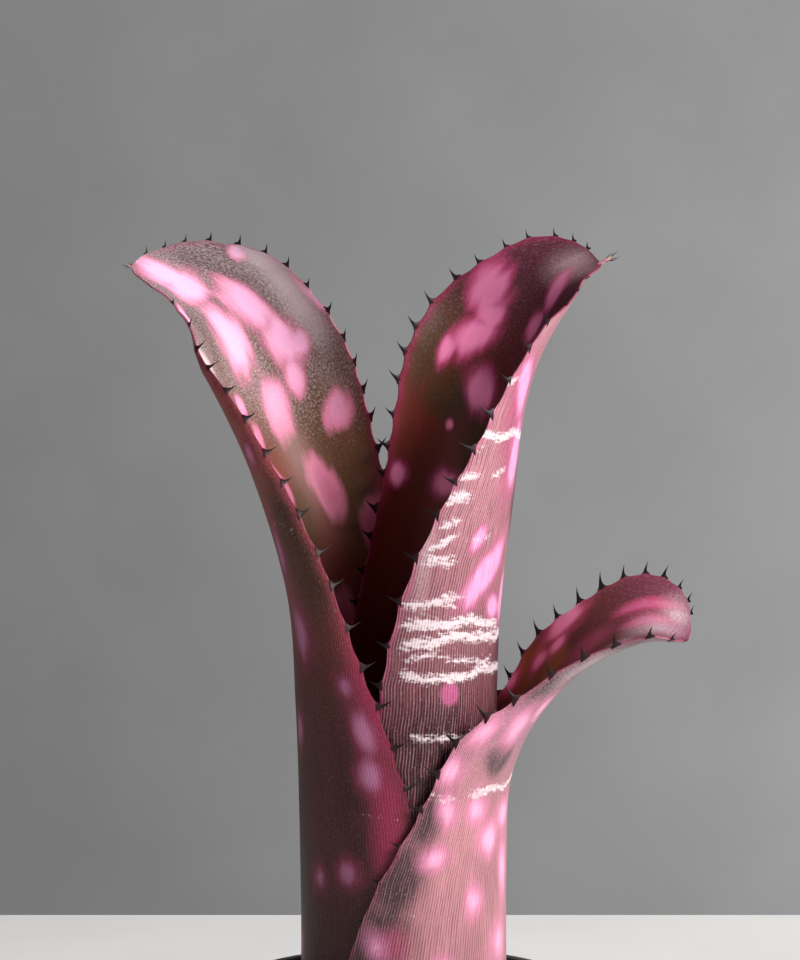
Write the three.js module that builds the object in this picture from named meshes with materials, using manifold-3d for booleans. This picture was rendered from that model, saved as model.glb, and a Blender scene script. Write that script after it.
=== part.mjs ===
// A potted tubular bromeliad. Three broad, stiff leaves are rolled round one another into an upright tube,
// lean apart above it and bend over at their tips. Dark hooked prickles stand along the leaf margins, which
// draw in a little between them. A young leaf is still rolled up at the heart of the tube. The leaf bases
// close on a short stem, which stands in a hole in the potting mix, in a round tapered nursery pot.
// Millimetres, +Z up, the origin in the middle of the pot's underside, the viewer on the -Y side.
import * as THREE from 'three';
import { mergeVertices } from 'three/addons/utils/BufferGeometryUtils.js';
import Module from 'manifold-3d';

const wasm = await Module();
wasm.setup();

// The pot
const POT_HEIGHT = 86;
const POT_RIM_RADIUS = 50;
const POT_BASE_RADIUS = 36;
const POT_WALL = 1.8;
const COLLAR_HEIGHT = 9; // the stiff band under the rim
const COLLAR_STEP = 2.2; // how far it stands out from the wall
const LIP_RADIUS = 1; // rounding of the rim
const POT_SIDES = 64;
const DRAIN_HOLES = 6;
const DRAIN_RADIUS = 3.5;
const DRAIN_CIRCLE = 24;
const DRAIN_SIDES = 12;

// The potting mix, and the plain hole in it that the plant stands in
const MIX_TOP = 76;
const MIX_GAP = 0.4; // to the pot's wall and floor
const MIX_SIDES = 48;
const MIX_RINGS = 5; // steps across its surface, from the pot's wall to the hole
const CRUMBS = 90;
const CRUMB_SPREAD = [2.5, 5.5]; // radius of a bark crumb's mound, or of a hollow between crumbs
const CRUMB_RELIEF = 1.5; // how far it stands up or sinks
const CRUMB_SEED = 11;
const HOLE_RADIUS = 31;
const HOLE_FLOOR = 54;

// The plant
const SEAT = 0.3; // clearance between two pieces that touch
const STEM_TOP = 69;
const STEM_SIDES = 32;
const STEM_GAP = 0.9; // to the innermost leaf
const LEAF_FOOT = HOLE_FLOOR + SEAT;
const LEAF_THICKNESS = 1;
const LEAF_COLUMNS = 12; // facets across a leaf
const PRICKLE_PITCH = 7.8; // a prickle's foot takes one half of it, and the gap to the next the other
const PRICKLE_LENGTH = 3.9;
const PRICKLE_NECK = 0.34; // share of its length over which it draws in from its broad foot
const NECK_WIDTH = 1.5;
const NECK_DEPTH = 0.7;
const PRICKLE_HOOK = 1.5; // how far its point leans towards the leaf's tip
const PRICKLES_FULL = 165; // height from which they are full size
const PRICKLES_START = 112; // and below which the clasped margins bear none
const TIP_WIDTH = 2.4; // the leaf where its end spine begins
const TIP_SPINE = 5;

// A leaf is an arc of a circle swept along its midrib. One row for each station along it:
//   azimuth  where the midrib stands round the plant's axis, in degrees anticlockwise from +X seen from above
//   out      distance of the midrib from the axis
//   height   height of the midrib
//   roll     turn of the blade about its midrib, in degrees, that brings its inner face round to the front
//   radius   radius of the blade's channel
//   front    width from the midrib to the front margin, round the arc
//   back     width from the midrib to the back margin, round the arc
// turn is +1 where the front margin lies anticlockwise of the midrib seen from above, and -1 where it lies
// clockwise of it. The end of the blade is rounded off from tipFrom, a share of the way along the stations:
// tipPower 1 brings it to a point, and 2 to a blunt round end.
const LEFT_LEAF = {
  name: 'leaf_left',
  color: 0x7d4a52,
  turn: 1,
  tipFrom: 0.9,
  tipPower: 1.5,
  stations: [
    { azimuth: 155, out: 28.0, height: LEAF_FOOT, roll: 0, radius: 27.2, front: 64, back: 54 },
    { azimuth: 155, out: 28.0, height: 80, roll: 0, radius: 27.2, front: 64, back: 52 },
    { azimuth: 155, out: 28.0, height: 105, roll: 0, radius: 27.2, front: 62, back: 50 },
    { azimuth: 155, out: 28.6, height: 135, roll: 0, radius: 27.2, front: 58, back: 46 },
    { azimuth: 155, out: 29.8, height: 165, roll: 0, radius: 27.2, front: 49, back: 42 },
    { azimuth: 155, out: 32.6, height: 195, roll: 0, radius: 27.2, front: 37.5, back: 37 },
    { azimuth: 151, out: 42.3, height: 228, roll: 8, radius: 26.5, front: 31, back: 34 },
    { azimuth: 148, out: 54.0, height: 255, roll: 20, radius: 26.0, front: 25, back: 34 },
    { azimuth: 150, out: 61.5, height: 272, roll: 33, radius: 27.0, front: 15.5, back: 28 },
    { azimuth: 154, out: 70.0, height: 281, roll: 38, radius: 28.0, front: 10.5, back: 20 },
    { azimuth: 159, out: 77.5, height: 286, roll: 38, radius: 28.0, front: 5, back: 11.5 },
    { azimuth: 162, out: 83.0, height: 289, roll: 38, radius: 28.0, front: 4, back: 7 },
  ],
};

const INNER_LEAF = {
  name: 'leaf_inner_right',
  color: 0x8c4a63,
  turn: -1,
  tipFrom: 0.9,
  tipPower: 2,
  stations: [
    { azimuth: 28, out: 25.0, height: LEAF_FOOT, roll: 0, radius: 25.0, front: 60, back: 56 },
    { azimuth: 28, out: 25.0, height: 80, roll: 0, radius: 25.0, front: 60, back: 56 },
    { azimuth: 28, out: 25.0, height: 105, roll: 0, radius: 25.0, front: 60, back: 55 },
    { azimuth: 28, out: 25.2, height: 140, roll: 0, radius: 25.0, front: 60, back: 53 },
    { azimuth: 28, out: 25.8, height: 168, roll: 0, radius: 25.0, front: 58, back: 48 },
    { azimuth: 28, out: 27.2, height: 193, roll: 0, radius: 25.0, front: 53, back: 42 },
    { azimuth: 28, out: 31.2, height: 222, roll: 0, radius: 25.5, front: 43, back: 39 },
    { azimuth: 28, out: 34.0, height: 243, roll: 0, radius: 26.0, front: 33, back: 38 },
    { azimuth: 28, out: 38.0, height: 258, roll: 2, radius: 26.0, front: 26, back: 38 },
    { azimuth: 27, out: 45.0, height: 272, roll: 5, radius: 27.0, front: 20, back: 34.5 },
    { azimuth: 25, out: 53.0, height: 285, roll: 20, radius: 26.0, front: 8, back: 21.5 },
    { azimuth: 22, out: 62.0, height: 290, roll: 30, radius: 28.0, front: 4, back: 12 },
  ],
};

const OUTER_LEAF = {
  name: 'leaf_outer_right',
  color: 0xa5607f,
  turn: -1,
  tipFrom: 0.88,
  tipPower: 2,
  stations: [
    { azimuth: -5, out: 28.3, height: LEAF_FOOT, roll: 0, radius: 29.3, front: 64, back: 56 },
    { azimuth: -5, out: 28.3, height: 76, roll: 0, radius: 29.3, front: 62, back: 56 },
    { azimuth: -5, out: 28.3, height: 94, roll: 0, radius: 29.3, front: 59, back: 54 },
    { azimuth: -5, out: 28.3, height: 118, roll: 0, radius: 29.3, front: 49, back: 47 },
    { azimuth: -5, out: 29.0, height: 140, roll: 0, radius: 29.0, front: 36, back: 35 },
    { azimuth: -5, out: 32.3, height: 152, roll: 0, radius: 28.0, front: 30, back: 28 },
    { azimuth: -5, out: 38.0, height: 162, roll: 3, radius: 27.0, front: 22, back: 24 },
    { azimuth: -5, out: 46.0, height: 172, roll: 10, radius: 27.0, front: 18.5, back: 23.5 },
    { azimuth: -5, out: 57.0, height: 181, roll: 20, radius: 27.0, front: 17, back: 20 },
    { azimuth: -5, out: 69.0, height: 186.5, roll: 28, radius: 27.0, front: 17, back: 19 },
    { azimuth: -5, out: 80.0, height: 185.5, roll: 34, radius: 27.0, front: 15, back: 16 },
  ],
};

const HEART_LEAF = {
  name: 'leaf_young_heart',
  color: 0x6f6a45,
  turn: 1,
  tipFrom: 0.8,
  tipPower: 2,
  stations: [
    { azimuth: 200, out: 13.0, height: STEM_TOP + SEAT, roll: 0, radius: 13.0, front: 36, back: 36 },
    { azimuth: 200, out: 13.0, height: 88, roll: 0, radius: 13.0, front: 36, back: 36 },
    { azimuth: 200, out: 12.0, height: 110, roll: 0, radius: 11.0, front: 30, back: 30 },
    { azimuth: 200, out: 10.0, height: 132, roll: 0, radius: 8.0, front: 20, back: 20 },
    { azimuth: 200, out: 8.0, height: 150, roll: 0, radius: 6.0, front: 10, back: 10 },
  ],
};

const STATION_FIELDS = ['azimuth', 'out', 'height', 'roll', 'radius', 'front', 'back'];

// One number of a station on a smooth curve through the four stations round it.
function smooth([before, from, to, after], share) {
  const startSlope = (to - before) / 2;
  const endSlope = (after - from) / 2;
  const bend = 3 * (to - from) - 2 * startSlope - endSlope;
  const twist = startSlope + endSlope - 2 * (to - from);
  return from + share * (startSlope + share * (bend + share * twist));
}

// The numbers of a station at any place t between the first one, 0, and the last, 1.
function valuesAt(leaf, t) {
  const last = leaf.stations.length - 1;
  const place = THREE.MathUtils.clamp(t, 0, 1) * last;
  const first = Math.min(Math.floor(place), last - 1);
  const near = [-1, 0, 1, 2].map((step) => leaf.stations[THREE.MathUtils.clamp(first + step, 0, last)]);
  const values = {};
  for (const field of STATION_FIELDS) {
    values[field] = smooth(near.map((station) => station[field]), place - first);
  }
  const intoTip = Math.max(t - leaf.tipFrom, 0) / (1 - leaf.tipFrom);
  const rounding = Math.sqrt(Math.max(1 - intoTip ** leaf.tipPower, 0));
  values.front *= rounding;
  values.back *= rounding;
  return values;
}

function midribAt(leaf, t) {
  const { azimuth, out, height } = valuesAt(leaf, t);
  const angle = THREE.MathUtils.degToRad(azimuth);
  return new THREE.Vector3(out * Math.cos(angle), out * Math.sin(angle), height);
}

// The midrib at t with its three directions: along it, towards the front margin, and into the channel.
function frameAt(leaf, t) {
  const step = 0.002;
  const values = valuesAt(leaf, t);
  const angle = THREE.MathUtils.degToRad(values.azimuth);
  const along = midribAt(leaf, Math.min(t + step, 1)).sub(midribAt(leaf, Math.max(t - step, 0))).normalize();
  const side = new THREE.Vector3(-Math.sin(angle), Math.cos(angle), 0).multiplyScalar(leaf.turn);
  side.addScaledVector(along, -side.dot(along)).normalize();
  side.applyAxisAngle(along, -leaf.turn * THREE.MathUtils.degToRad(values.roll));
  const inward = side.clone().cross(along).multiplyScalar(-leaf.turn);
  return { ...values, middle: midribAt(leaf, t), along, side, inward };
}

// The point of the blade at width w round the arc, positive to the front, and at depth d outside its middle.
function bladePoint(frame, w, d = 0) {
  const angle = w / frame.radius;
  return frame.middle.clone()
    .addScaledVector(frame.inward, frame.radius - (frame.radius + d) * Math.cos(angle))
    .addScaledVector(frame.side, (frame.radius + d) * Math.sin(angle));
}

// The point of a margin: the front one where hand is 1, and the back one where it is -1.
function marginPoint(frame, hand) {
  return bladePoint(frame, hand > 0 ? frame.front : -frame.back);
}

// The rows of the blade's grid: places t along the leaf that split its margins into steps of half a prickle
// pitch. The clasped base, where no prickles stand, has every second one. A row bears a prickle on each margin
// where size is above nothing, between itself and the next row.
function rowsOf(leaf) {
  const samples = 400;
  const frames = Array.from({ length: samples + 1 }, (_, i) => frameAt(leaf, i / samples));
  const lengths = [0];
  for (let i = 1; i <= samples; i++) {
    const front = marginPoint(frames[i], 1).distanceTo(marginPoint(frames[i - 1], 1));
    const back = marginPoint(frames[i], -1).distanceTo(marginPoint(frames[i - 1], -1));
    lengths.push(lengths[i - 1] + (front + back) / 2);
  }
  const count = 2 * Math.round(lengths[samples] / PRICKLE_PITCH);
  const rows = [];
  let k = 0;
  for (let i = 0; i <= count; i++) {
    const wanted = (lengths[samples] * i) / count;
    while (k < samples - 1 && lengths[k + 1] < wanted) k++;
    const frame = frameAt(leaf, (k + (wanted - lengths[k]) / (lengths[k + 1] - lengths[k])) / samples);
    const grown = THREE.MathUtils.smoothstep(frame.middle.z, PRICKLES_START, PRICKLES_FULL);
    const size = i % 2 || i > count - 2 || grown < 0.25 ? 0 : grown;
    if (i % 2 === 0 || grown > 0) rows.push({ frame, size });
  }
  return rows;
}

function solidOf(positions, triangles) {
  return new wasm.Manifold(new wasm.Mesh({
    numProp: 3,
    vertProperties: new Float32Array(positions.flatMap((point) => point.toArray())),
    triVerts: new Uint32Array(triangles.flat()),
  }));
}

// A three.js geometry as a solid: its shared vertices are merged, and the flat triangles at its poles dropped.
function solidFrom(geometry) {
  const bare = geometry.clone();
  bare.deleteAttribute('normal');
  bare.deleteAttribute('uv');
  const merged = mergeVertices(bare, 1e-4);
  const corners = Array.from(merged.getIndex().array);
  const triangles = [];
  for (let i = 0; i < corners.length; i += 3) {
    const [a, b, c] = corners.slice(i, i + 3);
    if (a !== b && b !== c && c !== a) triangles.push([a, b, c]);
  }
  const place = merged.getAttribute('position');
  const positions = [];
  for (let i = 0; i < place.count; i++) positions.push(new THREE.Vector3().fromBufferAttribute(place, i));
  return solidOf(positions, triangles);
}

function meshOf(name, solid, color, roughness) {
  const made = solid.getMesh();
  const geometry = new THREE.BufferGeometry()
    .setAttribute('position', new THREE.BufferAttribute(made.vertProperties.slice(), 3))
    .setIndex(new THREE.BufferAttribute(made.triVerts.slice(), 1));
  geometry.computeVertexNormals();
  const mesh = new THREE.Mesh(geometry, new THREE.MeshStandardMaterial({ color, roughness, metalness: 0 }));
  mesh.name = name;
  return mesh;
}

// A surface of revolution about the Z axis from [radius, height] points, which start and end on the axis.
function turned(profile, sides) {
  const points = profile.map(([radius, height]) => new THREE.Vector2(radius, height));
  return new THREE.LatheGeometry(points, sides).rotateX(Math.PI / 2);
}

// The outside radius of the pot's wall at a height, and the radius of its inside.
function wallRadius(height) {
  const top = POT_RIM_RADIUS - COLLAR_STEP;
  return THREE.MathUtils.mapLinear(height, 0, POT_HEIGHT, POT_BASE_RADIUS, top);
}

function innerRadius(height) {
  return wallRadius(height) - POT_WALL;
}

function potMesh() {
  const collarFoot = POT_HEIGHT - COLLAR_HEIGHT;
  const profile = [
    [0, 0],
    [POT_BASE_RADIUS - 1.5, 0],
    [wallRadius(1.5), 1.5],
    [wallRadius(collarFoot), collarFoot],
    [wallRadius(collarFoot) + COLLAR_STEP * 0.8, collarFoot + 0.6],
    [POT_RIM_RADIUS, POT_HEIGHT - LIP_RADIUS],
    [POT_RIM_RADIUS - LIP_RADIUS, POT_HEIGHT],
    [innerRadius(POT_HEIGHT) + LIP_RADIUS, POT_HEIGHT],
    [innerRadius(POT_HEIGHT), POT_HEIGHT - LIP_RADIUS],
    [innerRadius(POT_WALL + 1.5), POT_WALL + 1.5],
    [innerRadius(POT_WALL) - 1.5, POT_WALL],
    [0, POT_WALL],
  ];
  let solid = solidFrom(turned(profile, POT_SIDES));
  for (let i = 0; i < DRAIN_HOLES; i++) {
    const angle = (2 * Math.PI * i) / DRAIN_HOLES;
    const drill = new THREE.CylinderGeometry(DRAIN_RADIUS, DRAIN_RADIUS, 3 * POT_WALL, DRAIN_SIDES);
    drill.rotateX(Math.PI / 2);
    drill.translate(DRAIN_CIRCLE * Math.cos(angle), DRAIN_CIRCLE * Math.sin(angle), POT_WALL / 2);
    solid = solid.subtract(solidFrom(drill));
  }
  return meshOf('pot', solid, 0x2b2c2d, 0.55);
}

// Mounds and hollows scattered over the mix, as a function that gives the rise at a place.
function crumbRelief() {
  THREE.MathUtils.seededRandom(CRUMB_SEED);
  const draw = (low, high) => THREE.MathUtils.lerp(low, high, THREE.MathUtils.seededRandom());
  const crumbs = Array.from({ length: CRUMBS }, () => {
    const reach = draw(HOLE_RADIUS, innerRadius(MIX_TOP));
    const angle = draw(0, 2 * Math.PI);
    const spread = draw(...CRUMB_SPREAD);
    return { x: reach * Math.cos(angle), y: reach * Math.sin(angle), spread, rise: draw(-1, 1) * CRUMB_RELIEF };
  });
  return (x, y) => crumbs.reduce((sum, crumb) => {
    const near = 1 - ((x - crumb.x) ** 2 + (y - crumb.y) ** 2) / crumb.spread ** 2;
    return near > 0 ? sum + crumb.rise * near : sum;
  }, 0);
}

function mixMesh() {
  const edge = innerRadius(MIX_TOP) - MIX_GAP;
  const floor = POT_WALL + MIX_GAP;
  const rings = Array.from({ length: MIX_RINGS + 1 }, (_, i) => [
    THREE.MathUtils.lerp(edge, HOLE_RADIUS, i / MIX_RINGS),
    MIX_TOP,
  ]);
  const profile = [
    [0, floor],
    [innerRadius(floor) - MIX_GAP - 1.5, floor],
    [innerRadius(floor + 1.5) - MIX_GAP, floor + 1.5],
    ...rings,
    [HOLE_RADIUS, HOLE_FLOOR],
    [0, HOLE_FLOOR],
  ];
  const geometry = turned(profile, MIX_SIDES);
  const place = geometry.getAttribute('position');
  const rise = crumbRelief();
  for (let i = 0; i < place.count; i++) {
    if (place.getZ(i) > MIX_TOP - 1) place.setZ(i, MIX_TOP + rise(place.getX(i), place.getY(i)));
  }
  return meshOf('potting_mix', solidFrom(geometry), 0x3a2a1f, 0.95);
}

function stemMesh() {
  const bark = INNER_LEAF.stations[0].radius - LEAF_THICKNESS / 2 - STEM_GAP;
  const profile = [
    [0, LEAF_FOOT],
    [bark - 8, LEAF_FOOT],
    [bark - 1.5, LEAF_FOOT + 2],
    [bark, LEAF_FOOT + 4],
    [bark, LEAF_FOOT + 9],
    [bark - 2, STEM_TOP - 1.5],
    [bark - 6, STEM_TOP],
    [0, STEM_TOP],
  ];
  return meshOf('stem_base', solidFrom(turned(profile, STEM_SIDES)), 0x8a8a58, 0.7);
}

// A leaf as one closed sheet: the same grid on its inner and its outer face, joined round the edge, where the
// prickles stand, and drawn out at its end into a spine.
function leafMesh(leaf) {
  const rows = rowsOf(leaf);
  const end = rows.length - 1;
  const rim = LEAF_COLUMNS;
  const inner = (i, j) => i * (rim + 1) + j;
  const outer = (i, j) => inner(rows.length + i, j);
  const positions = [];
  for (const depth of [-LEAF_THICKNESS / 2, LEAF_THICKNESS / 2]) {
    for (const { frame } of rows) {
      const front = Math.max(frame.front, TIP_WIDTH / 2);
      const back = Math.max(frame.back, TIP_WIDTH / 2);
      for (let j = 0; j <= rim; j++) positions.push(bladePoint(frame, front - ((front + back) * j) / rim, depth));
    }
  }
  const triangles = [];
  const face = (...corners) => {
    const turned = leaf.turn > 0 ? corners : corners.reverse();
    for (let k = 2; k < turned.length; k++) triangles.push([turned[0], turned[k - 1], turned[k]]);
  };
  for (let i = 0; i < end; i++) {
    for (let j = 0; j < rim; j++) {
      face(inner(i, j), inner(i, j + 1), inner(i + 1, j + 1), inner(i + 1, j));
      face(outer(i, j), outer(i + 1, j), outer(i + 1, j + 1), outer(i, j + 1));
    }
    const feet = [
      [inner(i, 0), inner(i + 1, 0), outer(i + 1, 0), outer(i, 0)],
      [outer(i, rim), outer(i + 1, rim), inner(i + 1, rim), inner(i, rim)],
    ];
    for (const foot of feet) {
      if (rows[i].size > 0) addPrickle(positions, face, foot, rows[i].size);
      else face(...foot);
    }
  }
  const { middle, along } = rows[end].frame;
  const point = positions.push(middle.clone().addScaledVector(along, TIP_SPINE)) - 1;
  for (let j = 0; j < rim; j++) {
    face(inner(0, j), outer(0, j), outer(0, j + 1), inner(0, j + 1));
    face(inner(end, j), inner(end, j + 1), point);
    face(outer(end, j + 1), outer(end, j), point);
  }
  face(outer(end, 0), inner(end, 0), point);
  face(inner(end, rim), outer(end, rim), point);
  return meshOf(leaf.name, solidOf(positions, triangles), leaf.color, 0.5);
}

// A hooked prickle on four corners of the blade's edge, of which the first two lie on one of its faces. Its
// broad foot draws in to a neck, and its point leans towards the leaf's tip. size is 1 for a full one.
function addPrickle(positions, face, foot, size) {
  const [a, b, c, d] = foot.map((corner) => positions[corner]);
  const middle = a.clone().add(b).add(c).add(d).multiplyScalar(0.25);
  const along = b.clone().sub(a).normalize();
  const across = d.clone().sub(a);
  across.addScaledVector(along, -across.dot(along)).normalize();
  const outward = along.clone().cross(across);
  const place = (reach, lean, depth) => middle.clone()
    .addScaledVector(outward, reach)
    .addScaledVector(along, lean)
    .addScaledVector(across, depth);
  const reach = size * PRICKLE_LENGTH * PRICKLE_NECK;
  const lean = size * PRICKLE_HOOK * PRICKLE_NECK * 0.5;
  const half = (size * NECK_WIDTH) / 2;
  const first = positions.length;
  positions.push(
    place(reach, lean - half, -NECK_DEPTH / 2),
    place(reach, lean + half, -NECK_DEPTH / 2),
    place(reach, lean + half, NECK_DEPTH / 2),
    place(reach, lean - half, NECK_DEPTH / 2),
    place(size * PRICKLE_LENGTH, size * PRICKLE_HOOK, 0),
  );
  for (let k = 0; k < 4; k++) {
    const next = (k + 1) % 4;
    face(foot[k], foot[next], first + next, first + k);
    face(first + k, first + next, first + 4);
  }
}

const group = new THREE.Group();
group.add(potMesh(), mixMesh(), stemMesh());
for (const leaf of [HEART_LEAF, INNER_LEAF, LEFT_LEAF, OUTER_LEAF]) group.add(leafMesh(leaf));
export default group;
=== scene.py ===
"""The looks of a potted tubular bromeliad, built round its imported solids.

Three stiff leaves are rolled into a tube, lean apart above it and bend over. They are blotched with pink,
clouded with pale scurf and armed with hooked prickles. The plant stands in bark mix in a plain nursery pot.
Leaf shapes are given in millimetres, as in the part's own source, and everything made is in metres.
"""

import math
import random

import bpy
import numpy as np
from mathutils import Matrix, Vector


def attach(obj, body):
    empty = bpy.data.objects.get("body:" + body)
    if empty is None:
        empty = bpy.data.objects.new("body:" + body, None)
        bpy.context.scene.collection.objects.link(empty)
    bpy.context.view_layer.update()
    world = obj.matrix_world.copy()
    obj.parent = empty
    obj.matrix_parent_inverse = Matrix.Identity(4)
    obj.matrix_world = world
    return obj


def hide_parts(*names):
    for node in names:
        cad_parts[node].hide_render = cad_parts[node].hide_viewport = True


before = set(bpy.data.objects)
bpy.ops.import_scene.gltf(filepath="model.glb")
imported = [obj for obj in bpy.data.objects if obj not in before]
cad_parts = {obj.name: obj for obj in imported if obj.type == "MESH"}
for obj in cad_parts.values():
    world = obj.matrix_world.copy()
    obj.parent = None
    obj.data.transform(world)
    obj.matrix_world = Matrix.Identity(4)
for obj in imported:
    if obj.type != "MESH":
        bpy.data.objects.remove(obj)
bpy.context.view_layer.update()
bpy.ops.object.select_all(action="DESELECT")

MM = 0.001
SEED = 7

# Leaf shapes. The stations are those of the part's own source: azimuth of the midrib, its distance out and
# height, the blade's roll, the channel's radius, and the widths from midrib to front and back margin.
FIELDS = ("azimuth", "out", "height", "roll", "radius", "front", "back")

LEFT_LEAF = {
    "turn": 1,
    "tip_from": 0.9,
    "tip_power": 1.5,
    "stations": [
        (155, 28.0, 54.3, 0, 27.2, 64, 54),
        (155, 28.0, 80, 0, 27.2, 64, 52),
        (155, 28.0, 105, 0, 27.2, 62, 50),
        (155, 28.6, 135, 0, 27.2, 58, 46),
        (155, 29.8, 165, 0, 27.2, 49, 42),
        (155, 32.6, 195, 0, 27.2, 37.5, 37),
        (151, 42.3, 228, 8, 26.5, 31, 34),
        (148, 54.0, 255, 20, 26.0, 25, 34),
        (150, 61.5, 272, 33, 27.0, 15.5, 28),
        (154, 70.0, 281, 38, 28.0, 10.5, 20),
        (159, 77.5, 286, 38, 28.0, 5, 11.5),
        (162, 83.0, 289, 38, 28.0, 4, 7),
    ],
}

INNER_LEAF = {
    "turn": -1,
    "tip_from": 0.9,
    "tip_power": 2,
    "stations": [
        (28, 25.0, 54.3, 0, 25.0, 60, 56),
        (28, 25.0, 80, 0, 25.0, 60, 56),
        (28, 25.0, 105, 0, 25.0, 60, 55),
        (28, 25.2, 140, 0, 25.0, 60, 53),
        (28, 25.8, 168, 0, 25.0, 58, 48),
        (28, 27.2, 193, 0, 25.0, 53, 42),
        (28, 31.2, 222, 0, 25.5, 43, 39),
        (28, 34.0, 243, 0, 26.0, 33, 38),
        (28, 38.0, 258, 2, 26.0, 26, 38),
        (27, 45.0, 272, 5, 27.0, 20, 34.5),
        (25, 53.0, 285, 20, 26.0, 8, 21.5),
        (22, 62.0, 290, 30, 28.0, 4, 12),
    ],
}

OUTER_LEAF = {
    "turn": -1,
    "tip_from": 0.88,
    "tip_power": 2,
    "stations": [
        (-5, 28.3, 54.3, 0, 29.3, 64, 56),
        (-5, 28.3, 76, 0, 29.3, 62, 56),
        (-5, 28.3, 94, 0, 29.3, 59, 54),
        (-5, 28.3, 118, 0, 29.3, 49, 47),
        (-5, 29.0, 140, 0, 29.0, 36, 35),
        (-5, 32.3, 152, 0, 28.0, 30, 28),
        (-5, 38.0, 162, 3, 27.0, 22, 24),
        (-5, 46.0, 172, 10, 27.0, 18.5, 23.5),
        (-5, 57.0, 181, 20, 27.0, 17, 20),
        (-5, 69.0, 186.5, 28, 27.0, 17, 19),
        (-5, 80.0, 185.5, 34, 27.0, 15, 16),
    ],
}

HEART_LEAF = {
    "turn": 1,
    "tip_from": 0.8,
    "tip_power": 2,
    "stations": [
        (200, 13.0, 69.3, 0, 13.0, 36, 36),
        (200, 13.0, 88, 0, 13.0, 36, 36),
        (200, 12.0, 110, 0, 11.0, 30, 30),
        (200, 10.0, 132, 0, 8.0, 20, 20),
        (200, 8.0, 150, 0, 6.0, 10, 10),
    ],
}

HALF_COLUMNS = 30  # facets from the midrib to a margin
COLUMN_CROWDING = 1.35  # over 1, the facets are narrower towards the margin
ROW_STEP = 1.1
TIP_ROWS = 26
TIP_CROWDING = 1.8  # and the rows closer towards the end
LENGTH_STEPS = 400  # for measuring along the midrib
LEAST_HALF_WIDTH = 0.9
CURL_WIDTH = 7.0  # how far in from the margin its curl begins
CURL_FROM_WIDTH = 14  # half width of blade from which the curl is full
BLADE_THICK = 1.25
MARGIN_THICK = 0.5
THIN_MARGIN = 10  # how far in from the margin the blade reaches its full thickness
THIN_END = 12  # and how far back from its end
VEIN_WIDTH = 52  # half width of blade at which the veins have their full spacing
VEIN_LEAST = 18  # and from which they draw together no further
VEIN_DRAW = 0.6  # how much they draw together, from 0 for not at all to 1 for as the blade does
LEAST_PRICKLE = 0.12  # share of full growth under which a prickle is left out
FIRST_SIZE = 0.3  # size of a prickle where they only begin to grow, as a share of the full one
END_SIZE = 0.55  # and of the last one, at the margin's end
SIZES = (0.86, 1.08)  # by chance
LAST_GAP = 0.7  # from the last prickle to the margin's end, as a share of the pitch
END_PITCH = 0.62  # the pitch there, as a share of the full one
CROWDED_END = 40  # length of margin over which it widens to the full pitch
UNEVEN = 0.14  # how far a prickle's distance to the next strays from the pitch, as a share
AWRY = 0.12  # how far a prickle strays from its set direction, in radians


def unit(vectors):
    return vectors / np.linalg.norm(vectors, axis=-1, keepdims=True)


def ease(low, high, x):
    share = np.clip((x - low) / (high - low), 0, 1)
    return share * share * (3 - 2 * share)


def values_along(leaf, t):
    """The leaf's numbers at each t, 0 at its foot and 1 at its end, smoothed through its stations."""
    table = np.array(leaf["stations"], float)
    last = len(table) - 1
    place = np.clip(t, 0, 1) * last
    first = np.minimum(place.astype(int), last - 1)
    share = (place - first)[:, None]
    before, start, end, after = (table[np.clip(first + step, 0, last)] for step in (-1, 0, 1, 2))
    leave = (end - before) / 2
    arrive = (after - start) / 2
    bend = 3 * (end - start) - 2 * leave - arrive
    twist = leave + arrive - 2 * (end - start)
    values = dict(zip(FIELDS, (start + share * (leave + share * (bend + share * twist))).T))
    into_tip = np.maximum(t - leaf["tip_from"], 0) / (1 - leaf["tip_from"])
    rounding = np.sqrt(np.maximum(1 - into_tip ** leaf["tip_power"], 0))
    for hand in ("front", "back"):
        values[hand] = np.maximum(values[hand] * rounding, LEAST_HALF_WIDTH)
    return values


def midrib(leaf, t):
    values = values_along(leaf, t)
    angle = np.radians(values["azimuth"])
    out = values["out"]
    return np.stack([out * np.cos(angle), out * np.sin(angle), values["height"]], axis=-1)


def blade_frame(leaf, t):
    """The midrib at t, with the directions along it, towards the front margin, and into the channel."""
    values = values_along(leaf, t)
    angle = np.radians(values["azimuth"])
    along = unit(midrib(leaf, np.minimum(t + 0.002, 1)) - midrib(leaf, np.maximum(t - 0.002, 0)))
    side = leaf["turn"] * np.stack([-np.sin(angle), np.cos(angle), 0 * angle], axis=-1)
    side = unit(side - along * np.sum(side * along, axis=-1, keepdims=True))
    roll = (-leaf["turn"] * np.radians(values["roll"]))[:, None]
    side = side * np.cos(roll) + np.cross(along, side) * np.sin(roll)
    inward = -leaf["turn"] * np.cross(side, along)
    return values, midrib(leaf, t), along, side, inward


def half_section(width, radius, curl):
    """Half of each row's cross-section: the way round from the midrib, and at each step of it the distances
    into the channel and sideways, and the angle that the blade has turned through."""
    share = 1 - (1 - np.linspace(0, 1, HALF_COLUMNS + 1)) ** COLUMN_CROWDING
    way = width[:, None] * share

    def turned(place):
        into_curl = np.clip(1 - (width[:, None] - place) / CURL_WIDTH, 0, 1)
        return place / radius[:, None] + curl[:, None] * into_curl**2

    halfway = turned((way[:, 1:] + way[:, :-1]) / 2)
    steps = np.diff(way, axis=1)
    start = np.zeros((len(width), 1))
    into = np.hstack([start, np.cumsum(np.sin(halfway) * steps, axis=1)])
    aside = np.hstack([start, np.cumsum(np.cos(halfway) * steps, axis=1)])
    return way, into, aside, turned(way)


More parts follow.
